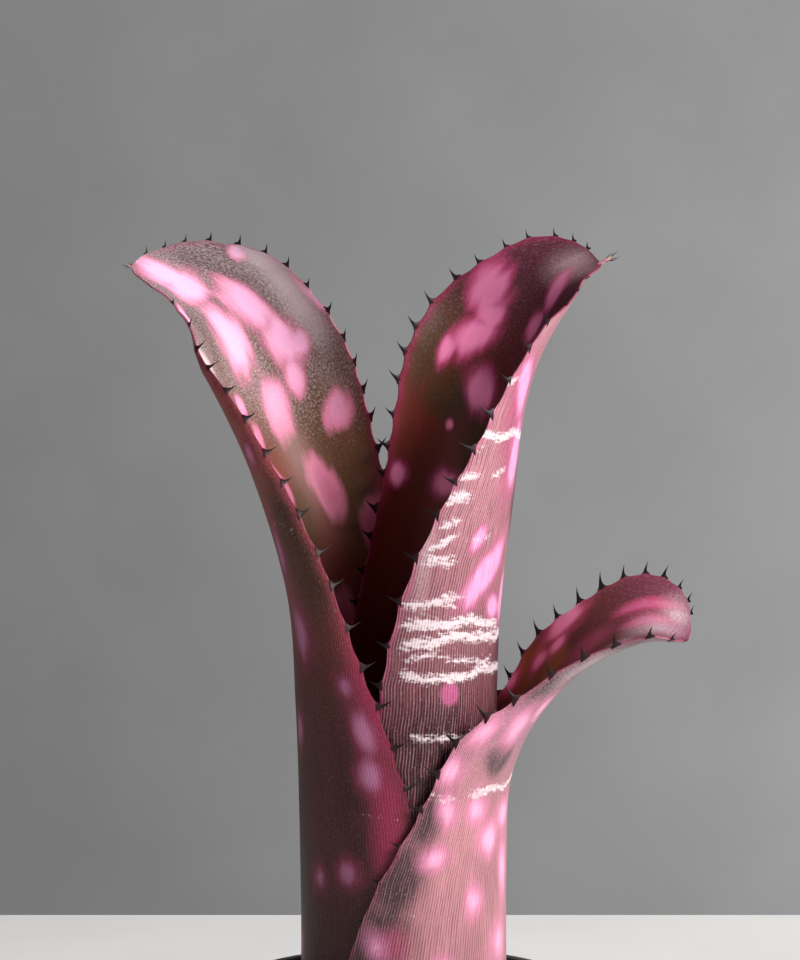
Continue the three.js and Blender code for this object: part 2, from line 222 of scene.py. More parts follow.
class Blade:
    """A leaf's blade as grids: rows from foot to end, and columns from the back margin to the front one."""

    def __init__(self, leaf, looks):
        self.leaf = leaf
        self.looks = looks
        self.rng = random.Random(SEED + looks["seed"])
        middle = midrib(leaf, np.linspace(0, 1, LENGTH_STEPS))
        length = np.linalg.norm(np.diff(middle, axis=0), axis=1).sum()
        body = np.linspace(0, leaf["tip_from"], int(length * leaf["tip_from"] / ROW_STEP))
        tip = 1 - (1 - leaf["tip_from"]) * (1 - np.linspace(0, 1, TIP_ROWS)[1:]) ** TIP_CROWDING
        self.t = np.concatenate([body, tip])
        self.prickles = {"front": [], "back": []}
        self.margin_way = None
        self.shape()
        for hand in self.prickles:
            self.prickles[hand] = self.places_of_prickles(hand)
        self.shape()

    def margin_rise(self, hand, way):
        """How far the margin swells out of its plain line at each place along it, most at a prickle."""
        rise = np.zeros(len(way))
        for place, size in self.prickles[hand]:
            near = np.abs(way - place) / (0.5 * self.looks["pitch"][hand])
            swell = size * self.looks["scallop"] * np.clip(1 - near, 0, 1) ** 1.6
            rise = np.maximum(rise, swell)
        return rise

    def shape(self):
        values, middle, self.along, side, inward = blade_frame(self.leaf, self.t)
        self.length = np.concatenate([[0], np.cumsum(np.linalg.norm(np.diff(middle, axis=0), axis=1))])
        self.height = middle[:, 2]
        free = ease(*self.looks["free"], self.height)
        halves = {}
        for hand, sign in (("back", -1), ("front", 1)):
            width = values[hand]
            if self.prickles[hand]:
                width = width + self.margin_rise(hand, self.margin_way[hand])
            curl = self.looks["curl"][hand] * free * ease(0, CURL_FROM_WIDTH, width)
            way, into, aside, angle = half_section(width, values["radius"], curl)
            place = middle[:, None] + inward[:, None] * into[..., None]
            place = place + sign * side[:, None] * aside[..., None]
            facing = inward[:, None] * np.cos(angle)[..., None]
            facing = facing - sign * side[:, None] * np.sin(angle)[..., None]
            rim = side * sign * np.cos(angle[:, -1:]) + inward * np.sin(angle[:, -1:])
            halves[hand] = (sign * way, place, facing, width[:, None] - way, rim)
        back, front = halves["back"], halves["front"]
        self.across, self.place, self.facing, self.inset = (
            np.concatenate([b[:, :0:-1], f], axis=1) for b, f in zip(back[:4], front[:4])
        )
        self.rim = {"back": back[4], "front": front[4]}
        self.margin = {"back": back[1][:, -1], "front": front[1][:, -1]}
        self.margin_facing = {"back": back[2][:, -1], "front": front[2][:, -1]}
        if self.margin_way is None:
            self.margin_way = {
                hand: np.concatenate([[0], np.cumsum(np.linalg.norm(np.diff(points, axis=0), axis=1))])
                for hand, points in self.margin.items()
            }

    def places_of_prickles(self, hand):
        """Each prickle's (place along the margin, size), unevenly spaced, from the blade's end down."""
        way = self.margin_way[hand]
        pitch = self.looks["pitch"][hand]
        found = []
        place = way[-1] - LAST_GAP * pitch
        while place > 0:
            height = np.interp(place, way, self.height)
            grown = ease(*self.looks["armed"], height)
            crowd = ease(0, CROWDED_END, way[-1] - place)
            taper = ease(0, self.looks["taper"], way[-1] - place)
            if grown > LEAST_PRICKLE:
                size = (FIRST_SIZE + (1 - FIRST_SIZE) * grown) * (END_SIZE + (1 - END_SIZE) * taper)
                found.append((place, size * self.rng.uniform(*SIZES)))
            crowded = END_PITCH + (1 - END_PITCH) * crowd
            place -= pitch * crowded * self.rng.uniform(1 - UNEVEN, 1 + UNEVEN)
        return found

    def at(self, table, hand, place):
        """The value of a table of the margin's rows at a place along the margin."""
        row = np.interp(place, self.margin_way[hand], np.arange(len(self.t)))
        low = min(int(row), len(self.t) - 2)
        return table[low] + (row - low) * (table[low + 1] - table[low])


# Ways of making


def node(material, kind, inputs=None, **settings):
    """Adds a node with its settings. Each of its inputs takes a value, or the socket that feeds it.

    Inputs go by name or number. Map Range has its value at 0, the span it comes from at 1 and 2, and the one
    it goes to at 3 and 4, which is 0 to 1 unless given. Math has its values at 0, 1 and 2, a mix of colours
    its share at 0, the colour under it at 6 and the one over it at 7, and Mapping its scale at 3.
    """
    made = material.node_tree.nodes.new("ShaderNode" + kind)
    for key, value in settings.items():
        setattr(made, key, value)
    for key, value in (inputs or {}).items():
        if isinstance(value, bpy.types.NodeSocket):
            material.node_tree.links.new(value, made.inputs[key])
        else:
            made.inputs[key].default_value = value
    return made


def rgb(hex_colour):
    """A colour from its sRGB hex value, turned to linear."""
    parts = [int(hex_colour[i : i + 2], 16) / 255 for i in (1, 3, 5)]
    return [p / 12.92 if p <= 0.04045 else ((p + 0.055) / 1.055) ** 2.4 for p in parts] + [1.0]


def keep_selected(*pieces):
    bpy.ops.object.select_all(action="DESELECT")
    for piece in pieces:
        piece.select_set(True)
    bpy.context.view_layer.objects.active = pieces[0]


def joined(first, *others):
    keep_selected(first, *others)
    bpy.ops.object.join()
    return first


def finished(piece, cad_node, smooth_angle=40):
    """Shades a piece smooth up to an angle, puts it in the place of its CAD node and deselects it."""
    keep_selected(piece)
    bpy.ops.object.shade_smooth_by_angle(angle=math.radians(smooth_angle))
    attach(piece, "root")
    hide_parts(cad_node)
    bpy.ops.object.select_all(action="DESELECT")


def store(mesh, name, values):
    """Keeps one number for each vertex under a name that materials can read."""
    layer = mesh.attributes.new(name, "FLOAT", "POINT")
    layer.data.foreach_set("value", np.asarray(values, np.float32).ravel())


def points_of(mesh):
    points = np.empty(len(mesh.vertices) * 3)
    mesh.vertices.foreach_get("co", points)
    return points.reshape(-1, 3)


def raised(name, sides, rings, closed_point=False):
    """A shape raised from a flat disc by extruding it from ring to ring. A ring is (half width, half depth,
    lean along X, height), in millimetres. closed_point gathers the last ring into a point."""
    bpy.ops.mesh.primitive_circle_add(vertices=sides, radius=MM, fill_type="NGON")
    shape = bpy.context.object
    shape.name = name
    bpy.ops.object.mode_set(mode="EDIT")
    bpy.ops.mesh.select_all(action="SELECT")
    wide, deep, lean, height = rings[0]
    bpy.ops.transform.resize(value=(wide, deep, 1))
    bpy.ops.transform.translate(value=(lean * MM, 0, height * MM))
    for next_wide, next_deep, next_lean, next_height in rings[1:]:
        move = ((next_lean - lean) * MM, 0, (next_height - height) * MM)
        bpy.ops.mesh.extrude_region_move(TRANSFORM_OT_translate={"value": move})
        bpy.ops.transform.resize(value=(next_wide / wide, next_deep / deep, 1))
        wide, deep, lean, height = next_wide, next_deep, next_lean, next_height
    if closed_point:
        bpy.ops.mesh.merge(type="CENTER")
    bpy.ops.mesh.select_all(action="SELECT")
    bpy.ops.mesh.normals_make_consistent(inside=False)
    bpy.ops.object.mode_set(mode="OBJECT")
    return shape


def spike(name, rings, sides, material):
    """A pointed growth that stands on the XY plane and leans along X. It stores its reach, foot to point."""
    shape = raised(name, sides, rings, closed_point=True)
    height = points_of(shape.data)[:, 2]
    store(shape.data, "reach", np.clip(height / height.max(), 0, 1))
    shape.data.materials.append(material)
    return shape


def set_copy(pattern, foot, lean_to, point_to, size):
    """A copy of a spike at foot (mm) that points along point_to and leans towards lean_to."""
    point = Vector(point_to).normalized()
    lean = Vector(lean_to)
    lean = (lean - point * lean.dot(point)).normalized()
    turn = Matrix((lean, point.cross(lean), point)).transposed().to_4x4()
    copy = pattern.copy()
    copy.data = pattern.data.copy()
    copy.data.transform(Matrix.Translation(Vector(foot) * MM) @ turn @ Matrix.Scale(size, 4))
    bpy.context.scene.collection.objects.link(copy)
    return copy


# Prickles, end points and bristles: rings of (half width, half depth, lean along X, height)
PRICKLE_RINGS = [
    (1.9, 0.30, 0.00, -0.7),
    (1.5, 0.34, 0.00, 0.0),
    (0.92, 0.30, 0.06, 0.5),
    (0.58, 0.25, 0.22, 1.2),
    (0.36, 0.18, 0.56, 2.2),
    (0.18, 0.11, 1.05, 3.2),
    (0.04, 0.03, 1.70, 4.4),
]
END_POINT_RINGS = [
    (1.0, 0.55, 0.0, -1.2),
    (1.0, 0.62, 0.0, 0.0),
    (0.85, 0.60, 0.0, 1.6),
    (0.55, 0.45, 0.1, 3.2),
    (0.20, 0.20, 0.2, 4.6),
]
BRISTLE_RINGS = [
    (0.20, 0.16, 0.0, -0.3),
    (0.18, 0.15, 0.0, 0.4),
    (0.12, 0.10, 0.15, 1.8),
    (0.03, 0.03, 0.6, 3.6),
]


def patch_field(along, across, patches):
    """How far each place lies inside the nearest patch: 1 at its heart, 0 on its edge and less outside.

    A patch is (along, across, half length, half width, slant), in millimetres. Slant is its sideways drift
    for each millimetre along.
    """
    field = np.full(along.shape, -1.0)
    for at, aside, long, wide, slant in patches:
        up = along - at
        reach = np.hypot(up / long, (across - aside - slant * up) / wide)
        field = np.maximum(field, 1 - reach)
    return field


WAVES = ((0.7, 0.21, 1), (0.4, 0.53, 2))  # of a band: height in mm, radians per mm across and along
BAND_FADE = 3  # how far it takes to fade at each end, either side of its limits
BAND_CORE = 0.25  # share of its half breadth over which it is at full strength


def band_field(along, across, bands):
    """How strongly each place lies on a pale cross band: 1 on its line and 0 well off it.

    A band is (along at the midrib, rise per millimetre to the front, half breadth, from across, to across,
    strength).
    """
    field = np.zeros(along.shape)
    for at, rise, breadth, low, high, strength in bands:
        wave = sum(height * np.sin(across * turn + at * shift) for height, turn, shift in WAVES)
        off = np.abs(along - at - rise * across - wave) / breadth
        begun = ease(low - BAND_FADE, low + BAND_FADE, across)
        ended = ease(high - BAND_FADE, high + BAND_FADE, across)
        field = np.maximum(field, strength * begun * (1 - ended) * np.clip(1 + BAND_CORE - off, 0, 1))
    return field


PATCH_KINDS = ("spots", "scurf", "olive", "blush")  # pink, pale scurf, olive ground with painted shade in places, and a red flush
MAP_UNITS = 10  # the blade's own map has this many units to a metre, so one is 100 mm


def blade_sheet(name, blade, materials):
    """The blade as a thin sheet, with what its materials read stored on it. The first material is its outer
    face, the second its inner face and the third its rim."""
    rows, columns = blade.across.shape
    bpy.ops.mesh.primitive_grid_add(x_subdivisions=columns - 1, y_subdivisions=rows - 1, size=2)
    sheet = bpy.context.object
    sheet.name = name
    mesh = sheet.data
    flat = points_of(mesh)
    column = np.rint((flat[:, 0] + 1) / 2 * (columns - 1)).astype(int)
    row = np.rint((flat[:, 1] + 1) / 2 * (rows - 1)).astype(int)
    if blade.leaf["turn"] < 0:
        column = columns - 1 - column
    mesh.vertices.foreach_set("co", (blade.place[row, column] * MM).ravel())
    along = blade.length[row]
    across = blade.across[row, column]
    inset = blade.inset[row, column]
    store(mesh, "margin_mm", inset)
    for face in ("inner", "outer"):
        for kind in PATCH_KINDS:
            store(mesh, face + "_" + kind, patch_field(along, across, blade.looks[face][kind]))
    store(mesh, "bands", band_field(along, across, blade.looks["bands"]))
    store(mesh, "to_tip", along / blade.length[-1])
    store(mesh, "reach", np.zeros(len(along)))
    corners = np.empty(len(mesh.loops), int)
    mesh.loops.foreach_get("vertex_index", corners)
    layer = mesh.uv_layers[0]
    layer.name = "blade"
    # the veins draw together where the blade narrows, and so does the map's way across
    half_width = np.maximum(np.abs(across) + inset, VEIN_LEAST)
    veined = across * (VEIN_WIDTH / half_width) ** VEIN_DRAW
    uv = np.stack([veined[corners], along[corners]], axis=-1) * MM * MAP_UNITS
    layer.data.foreach_set("uv", uv.ravel())
    for material in materials:
        mesh.materials.append(material)
    mesh.update()
    thicken(sheet, inset, blade.length[-1] - along)
    return sheet


def thicken(sheet, inset, to_end):
    """Gives a sheet its thickness, which draws in towards the margins and the end."""
    group = sheet.vertex_groups.new(name="thickness")
    thin = MARGIN_THICK / BLADE_THICK
    weight = thin + (1 - thin) * ease(0, THIN_MARGIN, inset) * ease(0, THIN_END, to_end)
    for index, share in enumerate(weight):
        group.add([index], float(share), "REPLACE")
    solid = sheet.modifiers.new("thickness", "SOLIDIFY")
    solid.thickness = BLADE_THICK * MM
    solid.offset = 0
    solid.vertex_group = "thickness"
    solid.material_offset = 1
    solid.material_offset_rim = 2
    keep_selected(sheet)
    bpy.ops.object.modifier_apply(modifier="thickness")
    sheet.vertex_groups.clear()


def prickles_of(blade, hand, pattern):
    """The prickles of one margin, each turned outwards and hooked towards the leaf's end."""
    margin = blade.margin[hand]
    copies = []
    for place, size in blade.prickles[hand]:
        height = np.interp(place, blade.margin_way[hand], blade.height)
        lift = math.radians(np.interp(height, *blade.looks["lift"][hand])) + blade.rng.uniform(-AWRY, AWRY)
        outward = blade.at(blade.rim[hand], hand, place) * math.cos(lift)
        outward = outward + blade.at(blade.margin_facing[hand], hand, place) * math.sin(lift)
        hook = blade.at(margin, hand, place + 0.5) - blade.at(margin, hand, place - 0.5)
        hook = hook + blade.rng.uniform(-AWRY, AWRY) * outward
        copies.append(set_copy(pattern, blade.at(margin, hand, place), hook, outward, size))
    return copies


def point_of(blade, patterns):
    """The soft point at a leaf's end, with the bristles that stand on it."""
    end = blade.place[-1, HALF_COLUMNS]
    heading = Vector(blade.along[-1])
    inward = Vector(blade.facing[-1, HALF_COLUMNS])
    sideways = inward.cross(heading)
    copies = [set_copy(patterns["end point"], end, sideways, heading, blade.looks["end_point"])]
    for turn, tilt, size, start in blade.looks["bristles"]:
        aside = inward * math.cos(turn) + sideways * math.sin(turn)
        way = heading * math.cos(tilt) + aside * math.sin(tilt)
        foot = Vector(end) + heading * start + aside * 0.3
        copies.append(set_copy(patterns["bristle"], foot, heading, way, size))
    return copies


def leaf_piece(name, cad_node, leaf, looks, materials, patterns):
    blade = Blade(leaf, looks)
    sheet = blade_sheet(name, blade, materials)
    growths = []
    for hand in ("front", "back"):
        growths.extend(prickles_of(blade, hand, patterns["prickle"]))
    if looks["end_point"]:
        growths.extend(point_of(blade, patterns))
    finished(joined(sheet, *growths), cad_node)


# Materials


def plain(name, colour, roughness):
    made = bpy.data.materials.new(name)
    made.use_nodes = True
    shader = made.node_tree.nodes["Principled BSDF"]
    shader.inputs["Base Color"].default_value = rgb(colour)
    shader.inputs["Roughness"].default_value = roughness
    return made, shader


# Noise over a blade: its cells across and along the blade in each 100 mm, its detail and its roughness
LEAF_NOISE = {
    "drift": (7, 2, 4, 0.5),  # of the ground colour
    "olive": (16, 4.5, 3, 0.5),  # edges of the olive patches and of the patches of painted shade
    "wobble": (20, 5.6, 4, 0.5),  # edges of the pink blotches
    "sway": (5, 1.4, 1, 0.5),  # of the veins
    "strands": (125, 12, 4, 0.5),  # breaks in the veins, 0.8 mm wide and 8 mm long
    "cover": (12, 3.4, 3, 0.5),  # thick and thin places in the scurf
    "scales": (125, 125, 4, 0.9),  # of scurf, 0.8 mm apart and down to 0.1 mm
    "ragged": (36, 120, 3, 0.5),  # strokes of a silver band
    "dabs": (85, 110, 3, 0.6),  # and the scales they are made of, about 1 mm wide
}
VEIN_PITCH = 0.76 * MM * MAP_UNITS
PAINT = {"data_type": "RGBA"}
SMOOTH = {"interpolation_type": "SMOOTHSTEP"}
TIMES_PLUS = {"operation": "MULTIPLY_ADD"}

# Other patterns, in cells per metre
HORN_GRAIN = 900.0  # 1.1 mm
PEBBLES = 1600.0  # 0.6 mm
POT_CLOUDS = 35.0  # 29 mm


def leaf_face(name, tones):
    """One face of a thick living leaf.

    It has a waxy skin over coloured flesh, with a parallel vein every 0.76 mm where the blade is broad, soft
    blotches with little pigment that let light through, and pale scales of scurf.
    """
    made, shader = plain(name, tones["ground"], tones["roughness"])
    uv = node(made, "UVMap", uv_map="blade").outputs[0]
    noise = {}
    for kind, (wide, long, detail, roughness) in LEAF_NOISE.items():
        place = node(made, "Mapping", {0: uv, 3: (wide, long, 1)}).outputs[0]
        settings = {0: place, "Scale": 1.0, "Detail": detail, "Roughness": roughness}
        noise[kind] = node(made, "TexNoise", settings).outputs[0]
    stored = {}
    for kind in ("margin_mm", "to_tip", "bands", "spots", "scurf", "olive", "blush"):
        title = tones["face"] + "_" + kind if kind in PATCH_KINDS else kind
        stored[kind] = node(made, "Attribute", attribute_name=title).outputs["Fac"]

    # the ground colour drifts slowly along the leaf, has olive patches, on one face a dark painted shade,
    # and changes towards the tip
    drift = node(made, "MapRange", {0: noise["drift"], 1: 0.36, 2: 0.64}, **SMOOTH).outputs[0]
    olive = node(made, "Math", {0: noise["olive"], 1: 0.9, 2: stored["olive"]}, **TIMES_PLUS).outputs[0]
    olive = node(made, "MapRange", {0: olive, 1: 0.2, 2: 1.0}, **SMOOTH).outputs[0]
    to_tip = node(made, "MapRange", {0: stored["to_tip"], 1: tones["tip_from"], 2: 1.0}, **SMOOTH).outputs[0]
    low, high = tones["upper_from"]
    upper = node(made, "MapRange", {0: stored["to_tip"], 1: low, 2: high}, **SMOOTH).outputs[0]

    # red flush along the margins and in places over the blade
    inset = {0: stored["margin_mm"], 1: tones["flush_width"], 2: 0.0, 4: tones["flush_share"]}
    near_margin = node(made, "MapRange", inset, **SMOOTH).outputs[0]
    blush = node(made, "MapRange", {0: stored["blush"], 1: -0.1, 2: 0.8, 4: 0.8}, **SMOOTH).outputs[0]
    flushed = node(made, "Math", {0: near_margin, 1: blush}, operation="MAXIMUM").outputs[0]

    # blotches with soft, slightly uneven edges, brighter at heart; towards the tip their colour turns from
    # the low
    #     # spot colour to the spot colour, painted light and shade where other leaves or the blade's own
    #     curl shade them
    edge = node(made, "Math", {0: noise["wobble"], 1: 1.0, 2: stored["spots"]}, **TIMES_PLUS).outputs[0]
    low, high = tones["spot_soft"]
    blotch = node(made, "MapRange", {0: edge, 1: low, 2: high, 4: tones["spot_share"]}, **SMOOTH).outputs[0]
    low, high = tones["spot_heart"]
    heart = node(made, "MapRange", {0: edge, 1: low, 2: high}, **SMOOTH).outputs[0]
    low, high = tones["spot_from"]
    lit = node(made, "MapRange", {0: stored["to_tip"], 1: low, 2: high}, **SMOOTH).outputs[0]
    pink = node(made, "Mix", {0: lit, 6: rgb(tones["spot_low"]), 7: rgb(tones["spot"])}, **PAINT).outputs[2]
    pink = node(made, "Mix", {0: heart, 6: rgb(tones["spot_edge"]), 7: pink}, **PAINT).outputs[2]

    # parallel veins: pale broken ridges with dark furrows between them, fainter on the blotches
    across = node(made, "SeparateXYZ", {0: uv}).outputs[0]
    sway = node(made, "Math", {0: noise["sway"], 1: 6.0}, operation="MULTIPLY").outputs[0]
    turns = node(made, "Math", {0: across, 1: 2 * math.pi / VEIN_PITCH, 2: sway}, **TIMES_PLUS).outputs[0]
    vein = node(made, "Math", {0: turns}, operation="SINE").outputs[0]
    bare = node(made, "MapRange", {0: blotch, 3: 1.0, 4: 0.35}).outputs[0]
    ridge = node(made, "Math", {0: vein, 1: 0.13, 2: noise["strands"]}, **TIMES_PLUS).outputs[0]
    ridge = node(made, "MapRange", {0: ridge, 1: 0.46, 2: 0.76, 4: tones["vein_share"]}, **SMOOTH).outputs[0]
    ridge = node(made, "Math", {0: ridge, 1: bare}, operation="MULTIPLY").outputs[0]
    furrow = node(made, "Math", {0: vein, 1: -0.17, 2: noise["strands"]}, **TIMES_PLUS).outputs[0]
    furrow = {0: furrow, 1: 0.44, 2: 0.7, 4: tones["furrow_share"]}
    furrow = node(made, "MapRange", furrow, **SMOOTH).outputs[0]
    furrow = node(made, "Math", {0: furrow, 1: bare}, operation="MULTIPLY").outputs[0]

    # scurf: a pale bloom in drifts, and scales, thick there and towards the tip, thin on the blotches
    bloom = {0: stored["scurf"], 1: -0.1, 2: 0.9, 4: tones["bloom_share"]}
    bloom = node(made, "MapRange", bloom, **SMOOTH).outputs[0]
    drifts = node(made, "Math", {0: stored["scurf"], 1: 0.0}, operation="MAXIMUM").outputs[0]
    cover = {0: upper, 1: tones["scurf_upper"], 2: tones["scurf_cover"]}
    cover = node(made, "Math", cover, **TIMES_PLUS).outputs[0]
    cover = node(made, "Math", {0: drifts, 1: 0.35, 2: cover}, **TIMES_PLUS).outputs[0]
    cover = node(made, "Math", {0: noise["cover"], 1: cover}, operation="MULTIPLY").outputs[0]
    cover = node(made, "Math", {0: cover, 1: bare, 2: noise["scales"]}, **TIMES_PLUS).outputs[0]
    scurfy = node(made, "MapRange", {0: cover, 1: 0.5, 2: 0.8, 4: tones["scurf_share"]}, **SMOOTH).outputs[0]

    # silver cross bands: scurf in ragged strokes across the veins
    strokes = node(made, "Math", {0: vein, 1: 0.08, 2: stored["bands"]}, **TIMES_PLUS).outputs[0]
    strokes = node(made, "Math", {0: noise["ragged"], 1: 1.3, 2: strokes}, **TIMES_PLUS).outputs[0]
    strokes = node(made, "Math", {0: noise["dabs"], 1: 1.5, 2: strokes}, **TIMES_PLUS).outputs[0]
    silver = {0: strokes, 1: 1.9, 2: 2.5, 4: tones["band_share"]}
    silver = node(made, "MapRange", silver, **SMOOTH).outputs[0]

    colour = rgb(tones["ground"])
    for share, over, blend in (
        (drift, rgb(tones["ground_2"]), "MIX"),
        (upper, rgb(tones["upper"]), "MIX"),
        (olive, rgb(tones["olive"]), "MIX"),
        (to_tip, rgb(tones["tip"]), "MIX"),
        (flushed, rgb(tones["flush"]), "MIX"),
        (blotch, pink, "MIX"),
        (ridge, rgb(tones["vein"]), "MIX"),
        (furrow, rgb(tones["furrow"]), "MULTIPLY"),
        (bloom, rgb(tones["scurf"]), "MIX"),
        (scurfy, rgb(tones["scurf"]), "MIX"),
        (silver, rgb(tones["silver"]), "MIX"),
    ):
        colour = node(made, "Mix", {0: share, 6: colour, 7: over}, blend_type=blend, **PAINT).outputs[2]
    made.node_tree.links.new(colour, shader.inputs["Base Color"])

    # matt where the scurf is, waxy between
    matt = node(made, "Math", {0: scurfy, 1: silver}, operation="MAXIMUM").outputs[0]
    rough_here = node(made, "MapRange", {0: matt, 3: tones["roughness"], 4: 0.85}).outputs[0]
    made.node_tree.links.new(rough_here, shader.inputs["Roughness"])

    # the veins stand up a little, and the scales lie on them
    relief = node(made, "Math", {0: vein, 1: tones["rib"], 2: ridge}, **TIMES_PLUS).outputs[0]
    relief = node(made, "Math", {0: silver, 1: 1.5, 2: relief}, **TIMES_PLUS).outputs[0]
    relief = node(made, "Math", {0: scurfy, 1: 0.8, 2: relief}, **TIMES_PLUS).outputs[0]
    bump = node(made, "Bump", {"Height": relief, "Distance": 0.0001, "Strength": tones["relief"]})
    made.node_tree.links.new(bump.outputs[0], shader.inputs["Normal"])

    # light that comes through, most of all where there is little pigment
    through = node(made, "MapRange", {0: blotch, 3: tones["through"], 4: tones["through_spots"]}).outputs[0]
    made.node_tree.links.new(through, shader.inputs["Subsurface Weight"])
    shader.inputs["Subsurface Radius"].default_value = (1.0, 0.3, 0.5)
    shader.inputs["Subsurface Scale"].default_value = 0.0022
    shader.inputs["Specular IOR Level"].default_value = tones["sheen"]
    return made


def leaf_margin(name, colour):
    """The rim of a leaf and its soft end point: thin living tissue that lets some light through."""
    made, shader = plain(name, colour, 0.5)
    shader.inputs["Subsurface Weight"].default_value = 0.3
    shader.inputs["Subsurface Radius"].default_value = (1.0, 0.4, 0.5)
    shader.inputs["Subsurface Scale"].default_value = 0.001
    return made


def horn(name, foot, point, roughness):
    """Dried horny plant tissue, as in prickles and bristles: dense and satin, darker from foot to point."""
    made, shader = plain(name, point, roughness)
    reach = node(made, "Attribute", attribute_name="reach").outputs["Fac"]
    place = node(made, "TexCoord").outputs["Object"]
    grain = node(made, "TexNoise", {0: place, "Scale": HORN_GRAIN}).outputs[0]
    dry = node(made, "Math", {0: grain, 1: 0.3, 2: reach}, **TIMES_PLUS).outputs[0]
    share = node(made, "MapRange", {0: dry, 1: 0.12, 2: 0.5}, **SMOOTH).outputs[0]
    colour = node(made, "Mix", {0: share, 6: rgb(foot), 7: rgb(point)}, **PAINT).outputs[2]
    made.node_tree.links.new(colour, shader.inputs["Base Color"])
    shader.inputs["Specular IOR Level"].default_value = 0.2
    return made


def moulded_plastic():
    """Nursery pot polypropylene, injection moulded and nearly black: satin, with a faint pebbled skin."""
    made, shader = plain("moulded_polypropylene", "#3A3C3E", 0.42)
    place = node(made, "TexCoord").outputs["Object"]
    pebble = node(made, "TexNoise", {0: place, "Scale": PEBBLES, "Detail": 2.0}).outputs[0]
    cloud = node(made, "TexNoise", {0: place, "Scale": POT_CLOUDS, "Detail": 4.0}).outputs[0]
    colour = node(made, "Mix", {0: cloud, 6: rgb("#333537"), 7: rgb("#424446")}, **PAINT).outputs[2]
    made.node_tree.links.new(colour, shader.inputs["Base Color"])
    rough = node(made, "MapRange", {0: cloud, 3: 0.34, 4: 0.55}).outputs[0]
    made.node_tree.links.new(rough, shader.inputs["Roughness"])
    bump = node(made, "Bump", {"Height": pebble, "Distance": 0.00006, "Strength": 0.5})
    made.node_tree.links.new(bump.outputs[0], shader.inputs["Normal"])
    return made


def crumbly(name, dark, light, scale, roughness):
    """Bark, peat, mineral crumbs or a woody stem: matt, broken in colour, with scale cells per metre."""
    made, shader = plain(name, dark, roughness)
    place = node(made, "TexCoord").outputs["Object"]
    patch = node(made, "TexNoise", {0: place, "Scale": scale, "Detail": 6.0, "Roughness": 0.7}).outputs[0]
    share = node(made, "MapRange", {0: patch, 1: 0.32, 2: 0.68}).outputs[0]
    colour = node(made, "Mix", {0: share, 6: rgb(dark), 7: rgb(light)}, **PAINT).outputs[2]
    made.node_tree.links.new(colour, shader.inputs["Base Color"])
    bump = node(made, "Bump", {"Height": patch, "Distance": 0.0006, "Strength": 0.8})
    made.node_tree.links.new(bump.outputs[0], shader.inputs["Normal"])
    return made


# The leaves' looks, in millimetres and degrees.
#   seed       of the leaf's own random draws
#   taper      length at each margin's end over which its prickles grow to full size
#   free       heights over which the leaf parts from the tube and its margins curl
#   armed      heights over which the prickles grow to full size
#   pitch      from one prickle to the next
#   scallop    how far the margin swells at a prickle
#   curl       turn of each margin, in radians
#   lift       turn of the prickles from the blade's plane into its channel, at two heights
#   inner, outer   patches of each face: (along, across, half length, half width, slant)
#   bands      (along at the midrib, rise to the front, half breadth, from across, to across, strength)
#   end_point  size of the soft point at the leaf's end, 0 for none
#   bristles   on that point: (way round it, tilt, size, distance along it)

